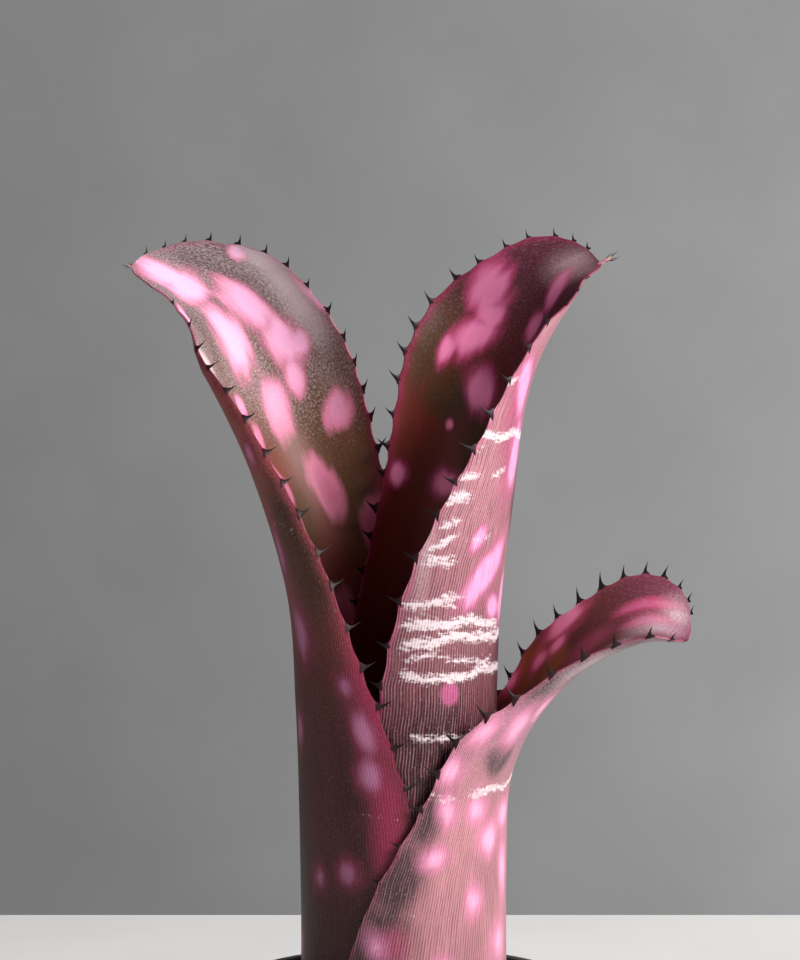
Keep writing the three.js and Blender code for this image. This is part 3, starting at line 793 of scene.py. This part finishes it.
LEFT_LOOKS = {
    "seed": 1,
    "taper": 80,
    "free": (150, 215),
    "armed": (105, 165),
    "pitch": {"front": 11.0, "back": 8.6},
    "scallop": 0.9,
    "curl": {"front": 1.1, "back": 0.25},
    "lift": {"front": ((170, 250), (5, 25)), "back": ((170, 250), (5, 5))},
    "inner": {
        "spots": [
            (247, -2.5, 11, 4.5, 0), (239, -2, 8, 6, 0), (219, -0.5, 16, 5.4, 0),
            (225, -10.5, 10.5, 5.5, 0.25), (214, -15, 8.5, 6.5, 0.2), (212, -20, 4, 4, 0),
            (204, -15.5, 7, 3.2, 0), (196, -7, 11, 5.2, 0),
            (191.3, -25.5, 6.2, 5.2, -0.2), (171, -16.5, 11, 4.8, 0.25), (172, -1.5, 7, 2.6, 0.4),
            (158, -30, 9, 4.5, 0), (187, 3, 6, 2, 0), (234, -20, 3, 2.5, 0), (197, 6, 5, 2, 0),
            (235, 8, 5, 1.8, -0.4), (219, -30, 6, 2, 0.6), (150, -2, 9, 5, 0), (132, -16, 10, 6, 0.1),
        ],
        "scurf": [
            (222, -25, 17, 7, 0.2), (229, -24, 9, 6, 0.3), (232, 13, 9, 2.5, 0), (214, 14, 11, 2.5, 0),
        ],
        "olive": [(205, -3, 6, 4, 0), (196, -17, 22, 6, 0.1), (170, -26, 22, 10, 0), (160, -6, 14, 7, 0)],
        "blush": [(160, -34, 20, 6, 0)],
    },
    "outer": {
        "spots": [
            (177, 26, 5, 3, 0), (150, 21, 10, 4, 0.15), (130, 24, 10, 7, -0.3), (104, 46, 9, 5, -0.3),
            (92, 47, 7, 5, -0.1), (66, 40, 6, 5, 0), (64, 30, 6, 4, 0), (116, 41, 6, 4, -0.2),
            (160, -10, 9, 5, 0.1), (120, -24, 11, 6, -0.1), (86, 4, 10, 6, 0.1), (70, -34, 9, 5, 0),
            (190, -16, 8, 5, 0.1), (214, 4, 8, 5, 0), (44, 16, 7, 5, 0), (148, -34, 8, 5, 0),
            (104, 20, 7, 4, 0), (230, -12, 7, 6, 0), (38, -14, 8, 6, 0), (200, 12, 7, 4, 0.2),
        ],
        "scurf": [(236, 0, 20, 30, 0), (180, -20, 20, 14, 0)],
        "olive": [(150, 34, 20, 12, 0), (100, 10, 22, 12, 0), (60, -10, 24, 14, 0), (180, -4, 16, 10, 0)],
        "blush": [(112, 50, 34, 8, -0.35), (78, 52, 26, 7, 0), (90, -34, 40, 12, 0)],
    },
    "bands": [
        (82, 0, 1.2, 40, 56, 0.5), (166, -0.4, 1.6, 20, 34, 0.5), (131, 0.04, 1.8, -50, 6, 0.75),
        (111, 0, 1.5, -52, -4, 0.6), (172, 0, 1.5, -36, 0, 0.55), (60, -0.03, 1.5, -46, 12, 0.55),
        (205, 0.05, 1.6, -34, 8, 0.5), (94, 0.02, 1.2, -30, 24, 0.45),
    ],
    "end_point": 0.45,
    "bristles": [
        (0.4, 0.9, 0.8, 0.2), (2.0, 0.7, 0.6, 0.6), (3.6, 0.8, 0.8, 0.4), (5.0, 1.0, 0.6, 0.0),
        (1.2, 0.6, 0.9, 0.8),
    ],
}
INNER_LOOKS = {
    "seed": 2,
    "taper": 70,
    "free": (190, 245),
    "armed": (105, 165),
    "pitch": {"front": 11.6, "back": 9.2},
    "scallop": 0.9,
    "curl": {"front": 0.25, "back": 0.2},
    "lift": {"front": ((170, 250), (5, 5)), "back": ((170, 250), (5, 5))},
    "inner": {
        "spots": [
            (225, -22, 8.5, 8, 0), (219, -19, 6, 6, 0), (212, -21, 8, 7.5, 0.5), (206.5, -27, 5, 3.2, 0),
            (198, -13, 8, 6.5, -0.15), (231, -1, 8, 3.5, -0.1), (219, -2, 7, 3.2, -0.1),
            (188, -21, 2, 1.6, 0), (172, -35, 5, 4, 0), (171, -20, 6, 5, 0), (176, 14, 9, 6, 0.1),
        ],
        "scurf": [(240, -4, 10, 10, 0)],
        "olive": [(218, -31, 5, 5, 0), (206, -32, 12, 6, 0), (196, -24, 8, 10, 0), (180, -10, 20, 8, 0)],
        "blush": [],
    },
    "outer": {
        "spots": [
            (187, 35.5, 5, 2, -0.4), (197, 23, 10, 4.5, 0), (179, 21, 12, 4.5, -0.1),
            (146, 28.5, 12, 6, -0.72), (140, 17, 9, 3, 0), (154, 34, 5, 3, -0.3), (114, 39.5, 3, 2.8, 0),
            (137, 24, 4, 4, 0), (215, 10, 9, 6, 0.1), (165, 2, 11, 6, -0.1), (122, -4, 9, 6, 0.1),
            (182, -24, 9, 5, 0.1), (142, -30, 9, 6, 0), (98, -22, 9, 5, 0), (205, -10, 8, 5, 0),
        ],
        "scurf": [(218, 26, 20, 9, 0), (150, 49, 24, 3, 0), (236, 0, 14, 20, 0)],
        # the first olive patch here is painted shadow, cast over this face by the outer right leaf's margin
        "olive": [
            (98, 44, 18, 14, 0), (168, 12, 14, 8, 0), (120, 14, 18, 9, 0), (150, -14, 20, 9, 0),
            (200, -26, 16, 8, 0),
        ],
        "blush": [(190, 24, 40, 9, 0), (130, -20, 50, 12, 0)],
    },
    "bands": [
        (131, -0.03, 9, 4, 54, 0.15), (186, -0.08, 1.9, 14, 38, 1.1), (179, -0.2, 1.9, 36, 43, 1.1),
        (179, -0.2, 1.6, 26, 33, 1), (178.5, -0.33, 2.8, 38, 46, 1.15),
        (179, -0.5, 2, 40, 47, 1.1), (169, -0.4, 1.8, 40, 49, 1.1), (164, -0.37, 1.8, 41, 49, 1.1),
        (155, -0.2, 1.9, 40, 50, 1.1), (204.5, -0.25, 1.6, 26, 35, 0.95),
        (167, -0.37, 1.3, 28, 38, 0.8), (144, -0.15, 1.5, 36, 54, 0.9), (190, -0.3, 1.3, 34, 40, 0.7),
        (137, -0.02, 1.9, 38, 54, 1), (133, -0.02, 2.2, 18, 54, 1.1), (132, -0.1, 2.2, 14, 54, 1.1),
        (124, -0.02, 1.6, 22, 53, 0.9), (122, -0.08, 2.1, 10, 54, 1.1), (103, 0, 1.9, 28, 51, 0.9),
        (135, 0.06, 1.8, -50, 14, 0.9), (124, 0.04, 1.6, -46, 10, 0.8), (176, 0.08, 1.7, -42, 14, 0.8),
        (196, 0.06, 1.6, -36, 12, 0.7), (108, 0.02, 1.3, -50, 20, 0.7), (156, 0.05, 1.5, -44, 8, 0.6),
    ],
    "end_point": 0.75,
    "bristles": [
        (0.4, 0.5, 0.9, 1.6), (2.0, 0.6, 0.8, 1.2), (3.6, 0.5, 0.9, 2.2), (5.0, 0.6, 0.8, 0.9),
        (1.2, 0.3, 1.1, 2.8), (4.3, 0.35, 1.0, 2.6),
    ],
}
OUTER_LOOKS = {
    "seed": 3,
    "taper": 40,
    "free": (130, 165),
    "armed": (95, 150),
    "pitch": {"front": 10.5, "back": 7.2},
    "scallop": 0.8,
    "curl": {"front": 0.5, "back": 0.2},
    "lift": {"front": ((120, 160), (5, 10)), "back": ((120, 160), (5, 5))},
    "inner": {
        "spots": [
            (131, -20, 8, 5.5, 0), (126, -16, 5, 3, 0), (150, -9, 9, 2.4, 0.1), (150, -2, 8, 3, 0.1),
            (120, -18, 5, 2.5, 0.1), (111, -24, 5, 4, 0), (110, -4, 5, 4, 0),
        ],
        "scurf": [(151, 1, 12, 8, 0), (157, -5, 6, 10, 0), (139, 5, 8, 4, 0)],
        "olive": [(115, -20, 9, 7, 0), (122, -13, 7, 6, 0), (110, -8, 10, 7, 0)],
        "blush": [(150, -5, 10, 6, 0), (132, -6, 12, 5, 0)],
    },
    "outer": {
        "spots": [
            (83, 31, 5, 3.5, 0), (83, 21, 5, 5, 0), (75, 16, 6, 6, 0), (71, 34, 4.5, 5, -0.3),
            (59, 22, 6, 4, 0), (66, 7, 10, 5, 0.05), (48, 50, 6, 4, 0.1), (46, 10, 8, 6, 0),
            (91, 31, 4, 4.5, -0.3), (101, 25, 6, 4, -0.5), (81, 7, 6, 6, -0.2), (106, 15, 8, 6, 0),
            (113, 10, 7, 4, 0), (74, -15, 9, 6, 0), (95, -30, 8, 5, 0), (54, -38, 8, 5, 0),
            (118, -5, 7, 5, 0), (139, 3, 7, 4, 0), (38, -16, 7, 6, 0), (40, 32, 6, 5, 0),
            (104, -12, 6, 5, 0),
        ],
        "scurf": [(130, 14, 14, 5, 0), (152, 6, 9, 14, 0)],
        "olive": [
            (96, 16, 5, 6, -0.2), (50, 52, 16, 12, 0), (66, 45, 14, 9, -0.3), (80, 37, 8, 5, -0.3),
            (121, 18, 12, 4, 0), (134, 14, 10, 5, 0), (102, -8, 20, 8, 0), (60, -20, 24, 14, 0),
        ],
        "blush": [(48, 45, 8, 6, 0), (70, -36, 40, 12, 0)],
    },
    "bands": [
        (91, -0.2, 1.7, -12, 25, 1.05), (88, -0.08, 1.3, 28, 40, 0.85), (110, -0.1, 1.3, -24, 12, 0.6),
        (71, 0.05, 1.4, -52, -8, 0.75), (56, -0.02, 1.1, 26, 44, 0.45), (96, 0.04, 1.4, -44, -14, 0.7),
        (48, 0.04, 1.3, -50, -6, 0.6),
    ],
    "end_point": 0,
    "bristles": [],
}
HEART_LOOKS = {
    "seed": 4,
    "taper": 40,
    "free": (100, 150),
    "armed": (300, 400),
    "pitch": {"front": 8.0, "back": 8.0},
    "scallop": 0.0,
    "curl": {"front": 0.0, "back": 0.0},
    "lift": {"front": ((0, 1), (0, 0)), "back": ((0, 1), (0, 0))},
    "inner": {"spots": [(40, 10, 10, 5, 0)], "scurf": [], "olive": [], "blush": []},
    "outer": {
        "spots": [(50, 10, 12, 5, 0), (30, -20, 12, 5, 0), (66, -6, 8, 4, 0)],
        "scurf": [],
        "olive": [],
        "blush": [],
    },
    "bands": [],
    "end_point": 0.5,
    "bristles": [],
}

# The colours and finish of a leaf's face, unless its own call says otherwise. Colours named upper, tip and
# spot come in over a span or from a place on the way from the leaf's foot, 0, to its end, 1. Where the low
# spot colour differs from spot, the difference is painted light and shade.
LEAF_TONES = {
    "face": "outer",
    "ground": "#4A2630",
    "ground_2": "#5E343E",
    "olive": "#42342E",
    "upper": "#5E343E",
    "upper_from": (0.75, 1.0),
    "tip": "#6E4858",
    "tip_from": 0.8,
    "spot": "#E8A8C8",
    "spot_low": "#E8A8C8",
    "spot_from": (0.55, 0.88),
    "spot_edge": "#B4587C",
    "spot_share": 0.9,
    "spot_soft": (0.2, 0.95),
    "spot_heart": (0.7, 1.4),
    "flush": "#8E2850",
    "flush_width": 5.0,
    "flush_share": 0.7,
    "vein": "#A87882",
    "vein_share": 0.3,
    "furrow": "#8C5A60",
    "furrow_share": 0.4,
    "scurf": "#C8AEB4",
    "scurf_cover": 0.02,
    "scurf_upper": 0.2,
    "scurf_share": 0.4,
    "bloom_share": 0.3,
    "silver": "#DCCCD2",
    "band_share": 0.85,
    "roughness": 0.42,
    "sheen": 0.26,
    "relief": 0.6,
    "rib": 0.35,
    "through": 0.1,
    "through_spots": 0.45,
}


def leaf_tones(**changes):
    return {**LEAF_TONES, **changes}


margin_rim = leaf_margin("leaf_margin", "#8A4458")
horny = horn("prickle_horn", "#281016", "#0E070A", 0.5)
bristly = horn("bristle_horn", "#C8A478", "#2A1A18", 0.4)
stub = leaf_margin("leaf_end_point", "#B07C8A")

patterns = {
    "prickle": spike("prickle", PRICKLE_RINGS, 10, horny),
    "end point": spike("end_point", END_POINT_RINGS, 10, stub),
    "bristle": spike("bristle", BRISTLE_RINGS, 6, bristly),
}
leaf_piece(
    "left_leaf", "leaf_left", LEFT_LEAF, LEFT_LOOKS,
    (
        leaf_face("left_leaf_outer_face", leaf_tones(
            ground="#3A1818", ground_2="#4A2020", upper="#8C4840", upper_from=(0.32, 0.78), olive="#4A2A1C",
            tip="#8A6266", flush="#8C2648", flush_width=3.0, flush_share=0.5, spot="#C87AA0",
            spot_low="#B07094", spot_edge="#842A4C", spot_share=0.85, spot_soft=(0.2, 1.2), vein="#7A4A50",
            vein_share=0.15, furrow_share=0.22, scurf_cover=-0.04, scurf_upper=0.12, scurf_share=0.3,
            bloom_share=0.15, sheen=0.24,
        )),
        leaf_face("left_leaf_inner_face", leaf_tones(
            face="inner", ground="#6E342A", ground_2="#74382E", upper="#624638", upper_from=(0.64, 0.82),
            olive="#523420", tip="#4C3A44", tip_from=0.78, flush="#7E2A44", flush_width=3.0, flush_share=0.6,
            # the lower blotches are dimmer: painted shade cast over them by the inner right leaf
            spot="#F6B4DA", spot_low="#B45E80", spot_edge="#C8708E", spot_share=1.0, spot_soft=(0.3, 0.85),
            spot_heart=(0.5, 1.2), spot_from=(0.66, 0.86), sheen=0.18, scurf="#E6D4DA", scurf_cover=-0.2,
            scurf_upper=0.42, scurf_share=0.5, bloom_share=0.6, band_share=0.0, vein="#A08084",
            vein_share=0.06, furrow_share=0.08, rib=0.08,
        )),
        margin_rim,
    ),
    patterns,
)
leaf_piece(
    "inner_right_leaf", "leaf_inner_right", INNER_LEAF, INNER_LOOKS,
    (
        # its ground is dark low down and pale above: partly its own colour, partly painted shade cast low
        # down by the outer right and left leaves
        leaf_face("inner_right_leaf_outer_face", leaf_tones(
            # the olive tone of this face is a dark painted shade, used for the painted shadow of the outer
            # right leaf's margin
            ground="#44141F", ground_2="#5A222E", upper="#B47A86", upper_from=(0.36, 0.72), olive="#34101A",
            tip="#C48890", flush="#B04C76", flush_width=2.0, spot="#F8A8D8", spot_low="#B85688",
            spot_from=(0.46, 0.54), spot_edge="#C0608C", spot_heart=(0.5, 1.1), vein="#C08890",
            vein_share=0.4, furrow="#6C3A3A", furrow_share=0.7, scurf_cover=-0.02, scurf_upper=0.1,
            bloom_share=0.2, band_share=0.92,
        )),
        leaf_face("inner_right_leaf_inner_face", leaf_tones(
            face="inner", ground="#621A10", ground_2="#6E240E", upper="#561A1A", upper_from=(0.7, 0.9),
            olive="#44260E", tip="#48182C", tip_from=0.82, flush="#861A48", flush_width=3.0, flush_share=0.6,
            # the lower blotches are brighter and more saturated than the upper ones: painted light where the
            # blade's own curl shades them
            spot="#E080AE", spot_low="#FF9CCC", spot_edge="#B03C6C", spot_soft=(0.28, 0.9),
            spot_heart=(0.6, 1.2), spot_from=(0.8, 0.83), scurf_cover=-0.2, scurf_upper=0.24,
            scurf_share=0.35, bloom_share=0.2, band_share=0.0, vein_share=0.03, furrow_share=0.05, rib=0.08,
            through=0.2,
        )),
        margin_rim,
    ),
    patterns,
)
leaf_piece(
    "outer_right_leaf", "leaf_outer_right", OUTER_LEAF, OUTER_LOOKS,
    (
        leaf_face("outer_right_leaf_outer_face", leaf_tones(
            ground="#A06C74", ground_2="#B47C84", upper="#9C6A7C", upper_from=(0.5, 0.68), olive="#4A3238",
            tip="#5C444E", tip_from=0.62, flush="#A84868", flush_width=2.0, flush_share=0.4, spot="#F0AED0",
            spot_low="#F0AED0", spot_edge="#D27EA2", spot_soft=(0.15, 1.15), spot_heart=(0.7, 1.45),
            vein="#D0A0A8", vein_share=0.25, furrow="#7E5256", furrow_share=0.5, scurf="#D8C4CA",
            scurf_cover=-0.04, scurf_upper=0.14, scurf_share=0.6, bloom_share=0.1,
        )),
        leaf_face("outer_right_leaf_inner_face", leaf_tones(
            face="inner", ground="#6A3026", ground_2="#5C2A2C", upper="#5A2A30", olive="#8A4E26",
            # the blotches high up are darker than those below: painted shade over the top of this face
            tip="#7A3A54", tip_from=0.86, flush="#96405A", flush_width=2.0, flush_share=0.4, spot="#C4608C",
            spot_low="#F494BE", spot_from=(0.85, 0.92), spot_edge="#BC4A70", spot_soft=(0.2, 1.1),
            spot_heart=(0.7, 1.3), scurf="#D8C2CE", scurf_cover=-0.16, scurf_upper=0.16, scurf_share=0.75,
            band_share=0.0, vein_share=0.06, furrow_share=0.15, rib=0.1, through=0.3,
        )),
        margin_rim,
    ),
    patterns,
)
leaf_piece(
    "young_heart_leaf", "leaf_young_heart", HEART_LEAF, HEART_LOOKS,
    (
        leaf_face("young_leaf_outer_face", leaf_tones(ground="#4A3C28", ground_2="#5A3A30")),
        leaf_face("young_leaf_inner_face", leaf_tones(
            face="inner", ground="#4A3C28", ground_2="#5A3A30", band_share=0.0,
        )),
        margin_rim,
    ),
    patterns,
)
for pattern in patterns.values():
    bpy.data.objects.remove(pattern)

# The pot, with its sizes in millimetres
FOOT_RADIUS = 36
TOP_RADIUS = 47.8  # of the wall, without its collar
POT_HEIGHT = 86
POT_WALL = 1.8
POT_SIDES = 96
COLLAR_FOOT = 77
LIP_TOP = 84  # where the wall ends inside and the rounded lip begins
DRAIN_HOLES = 6
DRAIN_RADIUS = 3.5
DRAIN_CIRCLE = 24
DRAIN_SIDES = 24
DRILL_LENGTH = 8


def wall_radius(height):
    """The pot's outside at a height, without its collar."""
    return FOOT_RADIUS + (TOP_RADIUS - FOOT_RADIUS) * height / POT_HEIGHT


def bore_radius(height):
    """And its inside."""
    return wall_radius(height) - POT_WALL


def round_rings(profile):
    return [(radius, radius, 0, height) for radius, height in profile]


UNDERSIDE = [(31.6, 0.9), (32.4, 0.15), (33.0, 0.0), (35.2, 0.0), (35.9, 0.5)]
OUTER_WALL = [(wall_radius(height), height) for height in (1.6, 25, 51, 76.6)]
COLLAR = [
    *((wall_radius(COLLAR_FOOT) + step, height) for step, height in ((0.4, 76.8), (1.4, 77.0), (1.9, 77.5))),
    (49.2, 80), (49.7, 84.4),
]
LIP = [(49.6, 85.3), (49.1, 85.85), (48.5, 86.0), (47.1, 86.0), (46.5, 85.8), (46.15, 85.3)]
INNER_WALL = [(bore_radius(height), height) for height in (LIP_TOP, 60, 30, 3.4)]
FLOOR = [(bore_radius(2.1) - 0.8, 2.1), (bore_radius(POT_WALL) - 2.0, POT_WALL), (12, POT_WALL)]

pot_profile = UNDERSIDE + OUTER_WALL + COLLAR + LIP + INNER_WALL + FLOOR
pot = raised("nursery_pot", POT_SIDES, round_rings(pot_profile))
drills = []
for i in range(DRAIN_HOLES):
    turn = 2 * math.pi * i / DRAIN_HOLES
    place = (DRAIN_CIRCLE * MM * math.cos(turn), DRAIN_CIRCLE * MM * math.sin(turn), MM)
    bpy.ops.mesh.primitive_cylinder_add(
        vertices=DRAIN_SIDES, radius=DRAIN_RADIUS * MM, depth=DRILL_LENGTH * MM, location=place
    )
    drills.append(bpy.context.object)
drill = joined(*drills)
bpy.ops.object.transform_apply(location=True, rotation=True, scale=True)
keep_selected(pot)
holes = pot.modifiers.new("drain holes", "BOOLEAN")
holes.operation = "DIFFERENCE"
holes.solver = "EXACT"
holes.object = drill
bpy.ops.object.modifier_apply(modifier="drain holes")
bpy.data.objects.remove(drill)
pot.data.materials.clear()
pot.data.materials.append(moulded_plastic())
finished(pot, "pot", 35)

# The potting mix, with its sizes in millimetres
MIX_TOP = 76
MIX_GAP = 0.5  # to the pot's wall
MIX_SIDES = 144
SURFACE_RINGS = 22  # steps across its surface, from the pot's wall to the hole
HOLE_RADIUS = 30.9
HOLE_FLOOR = 54.2
MOUNDS = 420
MOUND_REACH = (30, 45)  # from the axis
MOUND_RADIUS = (1.6, 4.6)
MOUND_RISE = (-1.3, 1.3)
MOUND_SHARE = 0.8  # of its rise that a mound gets
STREWN_REACH = (32.5, 43.6)  # of the loose crumbs

# crumbs of peat 2.4 mm wide, grain of bark 4.2 mm and pores of perlite 1.1 mm
peat = crumbly("peat", "#1E140E", "#3A281C", 420, 0.95)
bark = crumbly("bark_chips", "#2E1C12", "#6A452C", 240, 0.9)
mineral = crumbly("perlite", "#B8B2A6", "#EDEAE2", 900, 0.9)
mix_edge = wall_radius(MIX_TOP) - POT_WALL - MIX_GAP
surface = [
    (mix_edge + (HOLE_RADIUS - mix_edge) * i / SURFACE_RINGS, MIX_TOP) for i in range(SURFACE_RINGS + 1)
]
mix = raised("peat_and_bark", MIX_SIDES, round_rings([
    (bore_radius(2.2) - 2.0, 2.3), (bore_radius(3.7) - MIX_GAP, 3.8),
    *surface, (HOLE_RADIUS, 60), (HOLE_RADIUS, HOLE_FLOOR),
]))
ground = random.Random(SEED)
mounds = [
    (
        ground.uniform(*MOUND_REACH), ground.uniform(0, 2 * math.pi),
        ground.uniform(*MOUND_RADIUS), ground.uniform(*MOUND_RISE),
    )
    for _ in range(MOUNDS)
]
mix_points = points_of(mix.data)
top = mix_points[:, 2] > (MIX_TOP - 1) * MM
for reach, turn, spread, rise in mounds:
    centre = np.array([reach * math.cos(turn), reach * math.sin(turn)])
    near = 1 - np.sum((mix_points[:, :2] / MM - centre) ** 2, axis=1) / spread**2
    mix_points[top, 2] += np.clip(near[top], 0, 1) * rise * MM * MOUND_SHARE
mix.data.vertices.foreach_set("co", mix_points.ravel())
mix.data.materials.append(peat)

bpy.ops.mesh.primitive_cube_add(size=MM)
chip = bpy.context.object
bpy.ops.object.mode_set(mode="EDIT")
bpy.ops.mesh.subdivide(number_cuts=2)
bpy.ops.object.mode_set(mode="OBJECT")
chip.data.materials.append(bark)
bpy.ops.mesh.primitive_ico_sphere_add(subdivisions=2, radius=MM)
grain = bpy.context.object
grain.data.materials.append(mineral)
bpy.ops.mesh.primitive_ico_sphere_add(subdivisions=1, radius=MM)
crumb = bpy.context.object
crumb.data.materials.append(peat)


def scattered(pattern, count, sizes, roughness, lift):
    """Copies of a crumb strewn over the mix, each turned, stretched and knocked out of shape.

    sizes are the spans of its three sizes, roughness how far it is knocked out of shape, as a share of the
    least of them, and lift its height over the mix.
    """
    copies = []
    for _ in range(count):
        copy = pattern.copy()
        copy.data = pattern.data.copy()
        size = [ground.uniform(*span) for span in sizes]
        shape = points_of(copy.data)
        shape *= np.array(size)
        jitter = np.array([[ground.uniform(-1, 1) for _ in range(3)] for _ in range(len(shape))])
        shape += jitter * roughness * min(size) * MM
        reach = ground.uniform(*STREWN_REACH)
        turn = ground.uniform(0, 2 * math.pi)
        lean = Matrix.Rotation(ground.uniform(-0.5, 0.5), 4, "X")
        lean = lean @ Matrix.Rotation(ground.uniform(0, 2 * math.pi), 4, "Z")
        place = (reach * math.cos(turn) * MM, reach * math.sin(turn) * MM, (MIX_TOP + lift) * MM)
        copy.data.vertices.foreach_set("co", shape.ravel())
        copy.data.transform(Matrix.Translation(place) @ lean)
        bpy.context.scene.collection.objects.link(copy)
        copies.append(copy)
    return copies


strewn = [
    *scattered(chip, 170, [(3.0, 7.0), (2.0, 4.0), (1.0, 2.2)], 0.16, 0.5),
    *scattered(grain, 46, [(0.8, 1.7), (0.8, 1.5), (0.7, 1.2)], 0.25, 0.6),
    *scattered(crumb, 300, [(0.5, 1.3), (0.5, 1.2), (0.4, 0.9)], 0.25, 0.5),
]
for pattern in (chip, grain, crumb):
    bpy.data.objects.remove(pattern)
finished(joined(mix, *strewn), "potting_mix", 50)

# The stem keeps its solid, with bark on it broken in colour every 6 mm
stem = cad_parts["stem_base"]
stem.data.materials.clear()
stem.data.materials.append(crumbly("stem_bark", "#4A4424", "#7A7444", 160, 0.8))

# Stage, light and camera, in metres
TABLE_BACK = 0.535  # its far edge, which the photograph shows
TABLE_SIZE = (4, 2.005, 0.04)
WALL_DISTANCE = 1.7
PLANT_MIDDLE = (0, 0, 0.2)

bpy.ops.mesh.primitive_cube_add(
    size=1, location=(0, TABLE_BACK - TABLE_SIZE[1] / 2, -TABLE_SIZE[2] / 2), scale=TABLE_SIZE
)
table = bpy.context.object
table.name = "table"
bpy.ops.mesh.primitive_plane_add(size=8, location=(0, WALL_DISTANCE, 1.0), rotation=(math.pi / 2, 0, 0))
wall = bpy.context.object
wall.name = "wall"


def clouded_paint(name, dark, light, scale):
    """Flat paint, brushed on a little unevenly, with scale clouds per metre."""
    made, shader = plain(name, dark, 0.8)
    place = node(made, "TexCoord").outputs["Object"]
    clouds = node(made, "TexNoise", {0: place, "Scale": scale, "Detail": 5.0}).outputs[0]
    colour = node(made, "Mix", {0: clouds, 6: rgb(dark), 7: rgb(light)}, **PAINT).outputs[2]
    made.node_tree.links.new(colour, shader.inputs["Base Color"])
    return made


table.data.materials.append(clouded_paint("pale_table", "#EAEBEC", "#FAFBFB", 9.0))
wall.data.materials.append(clouded_paint("grey_wall", "#808182", "#949596", 5.0))


def soft_light(name, place, target, size, power, colour):
    """A rectangular area light of a size in metres and a power in watts, turned to its target."""
    data = bpy.data.lights.new(name, "AREA")
    data.shape = "RECTANGLE"
    data.size, data.size_y = size
    data.energy = power
    data.color = rgb(colour)[:3]
    lamp = bpy.data.objects.new(name, data)
    bpy.context.scene.collection.objects.link(lamp)
    lamp.location = place
    lamp.rotation_euler = (Vector(target) - Vector(place)).to_track_quat("-Z", "Y").to_euler()


soft_light("window_light", (1.75, -1.1, 1.5), PLANT_MIDDLE, (0.8, 0.8), 99, "#FFFAF6")
soft_light("front_fill", (-1.1, -1.3, 0.7), PLANT_MIDDLE, (1.2, 1.2), 2.0, "#F4F6FF")
soft_light("wall_light", (1.0, 0.9, -0.1), (0.5, 1.7, -0.2), (1.0, 0.6), 8, "#FAFCFF")

world = bpy.data.worlds.new("studio")
bpy.context.scene.world = world
world.use_nodes = True
world.node_tree.nodes["Background"].inputs["Color"].default_value = rgb("#A0A2A6")
world.node_tree.nodes["Background"].inputs["Strength"].default_value = 0.3

# level, looking along +Y from 0.62 m in front of the pot's axis, where a pixel is 0.28 mm
camera_data = bpy.data.cameras.new("camera")
camera_data.lens = 83
camera_data.sensor_width = 36
camera = bpy.data.objects.new("camera", camera_data)
bpy.context.scene.collection.objects.link(camera)
camera.location = (-0.00084, -0.62, 0.227)
camera.rotation_euler = (math.pi / 2, 0, 0)
bpy.context.scene.camera = camera
bpy.context.scene.view_settings.view_transform = "Standard"

bpy.ops.object.select_all(action="DESELECT")
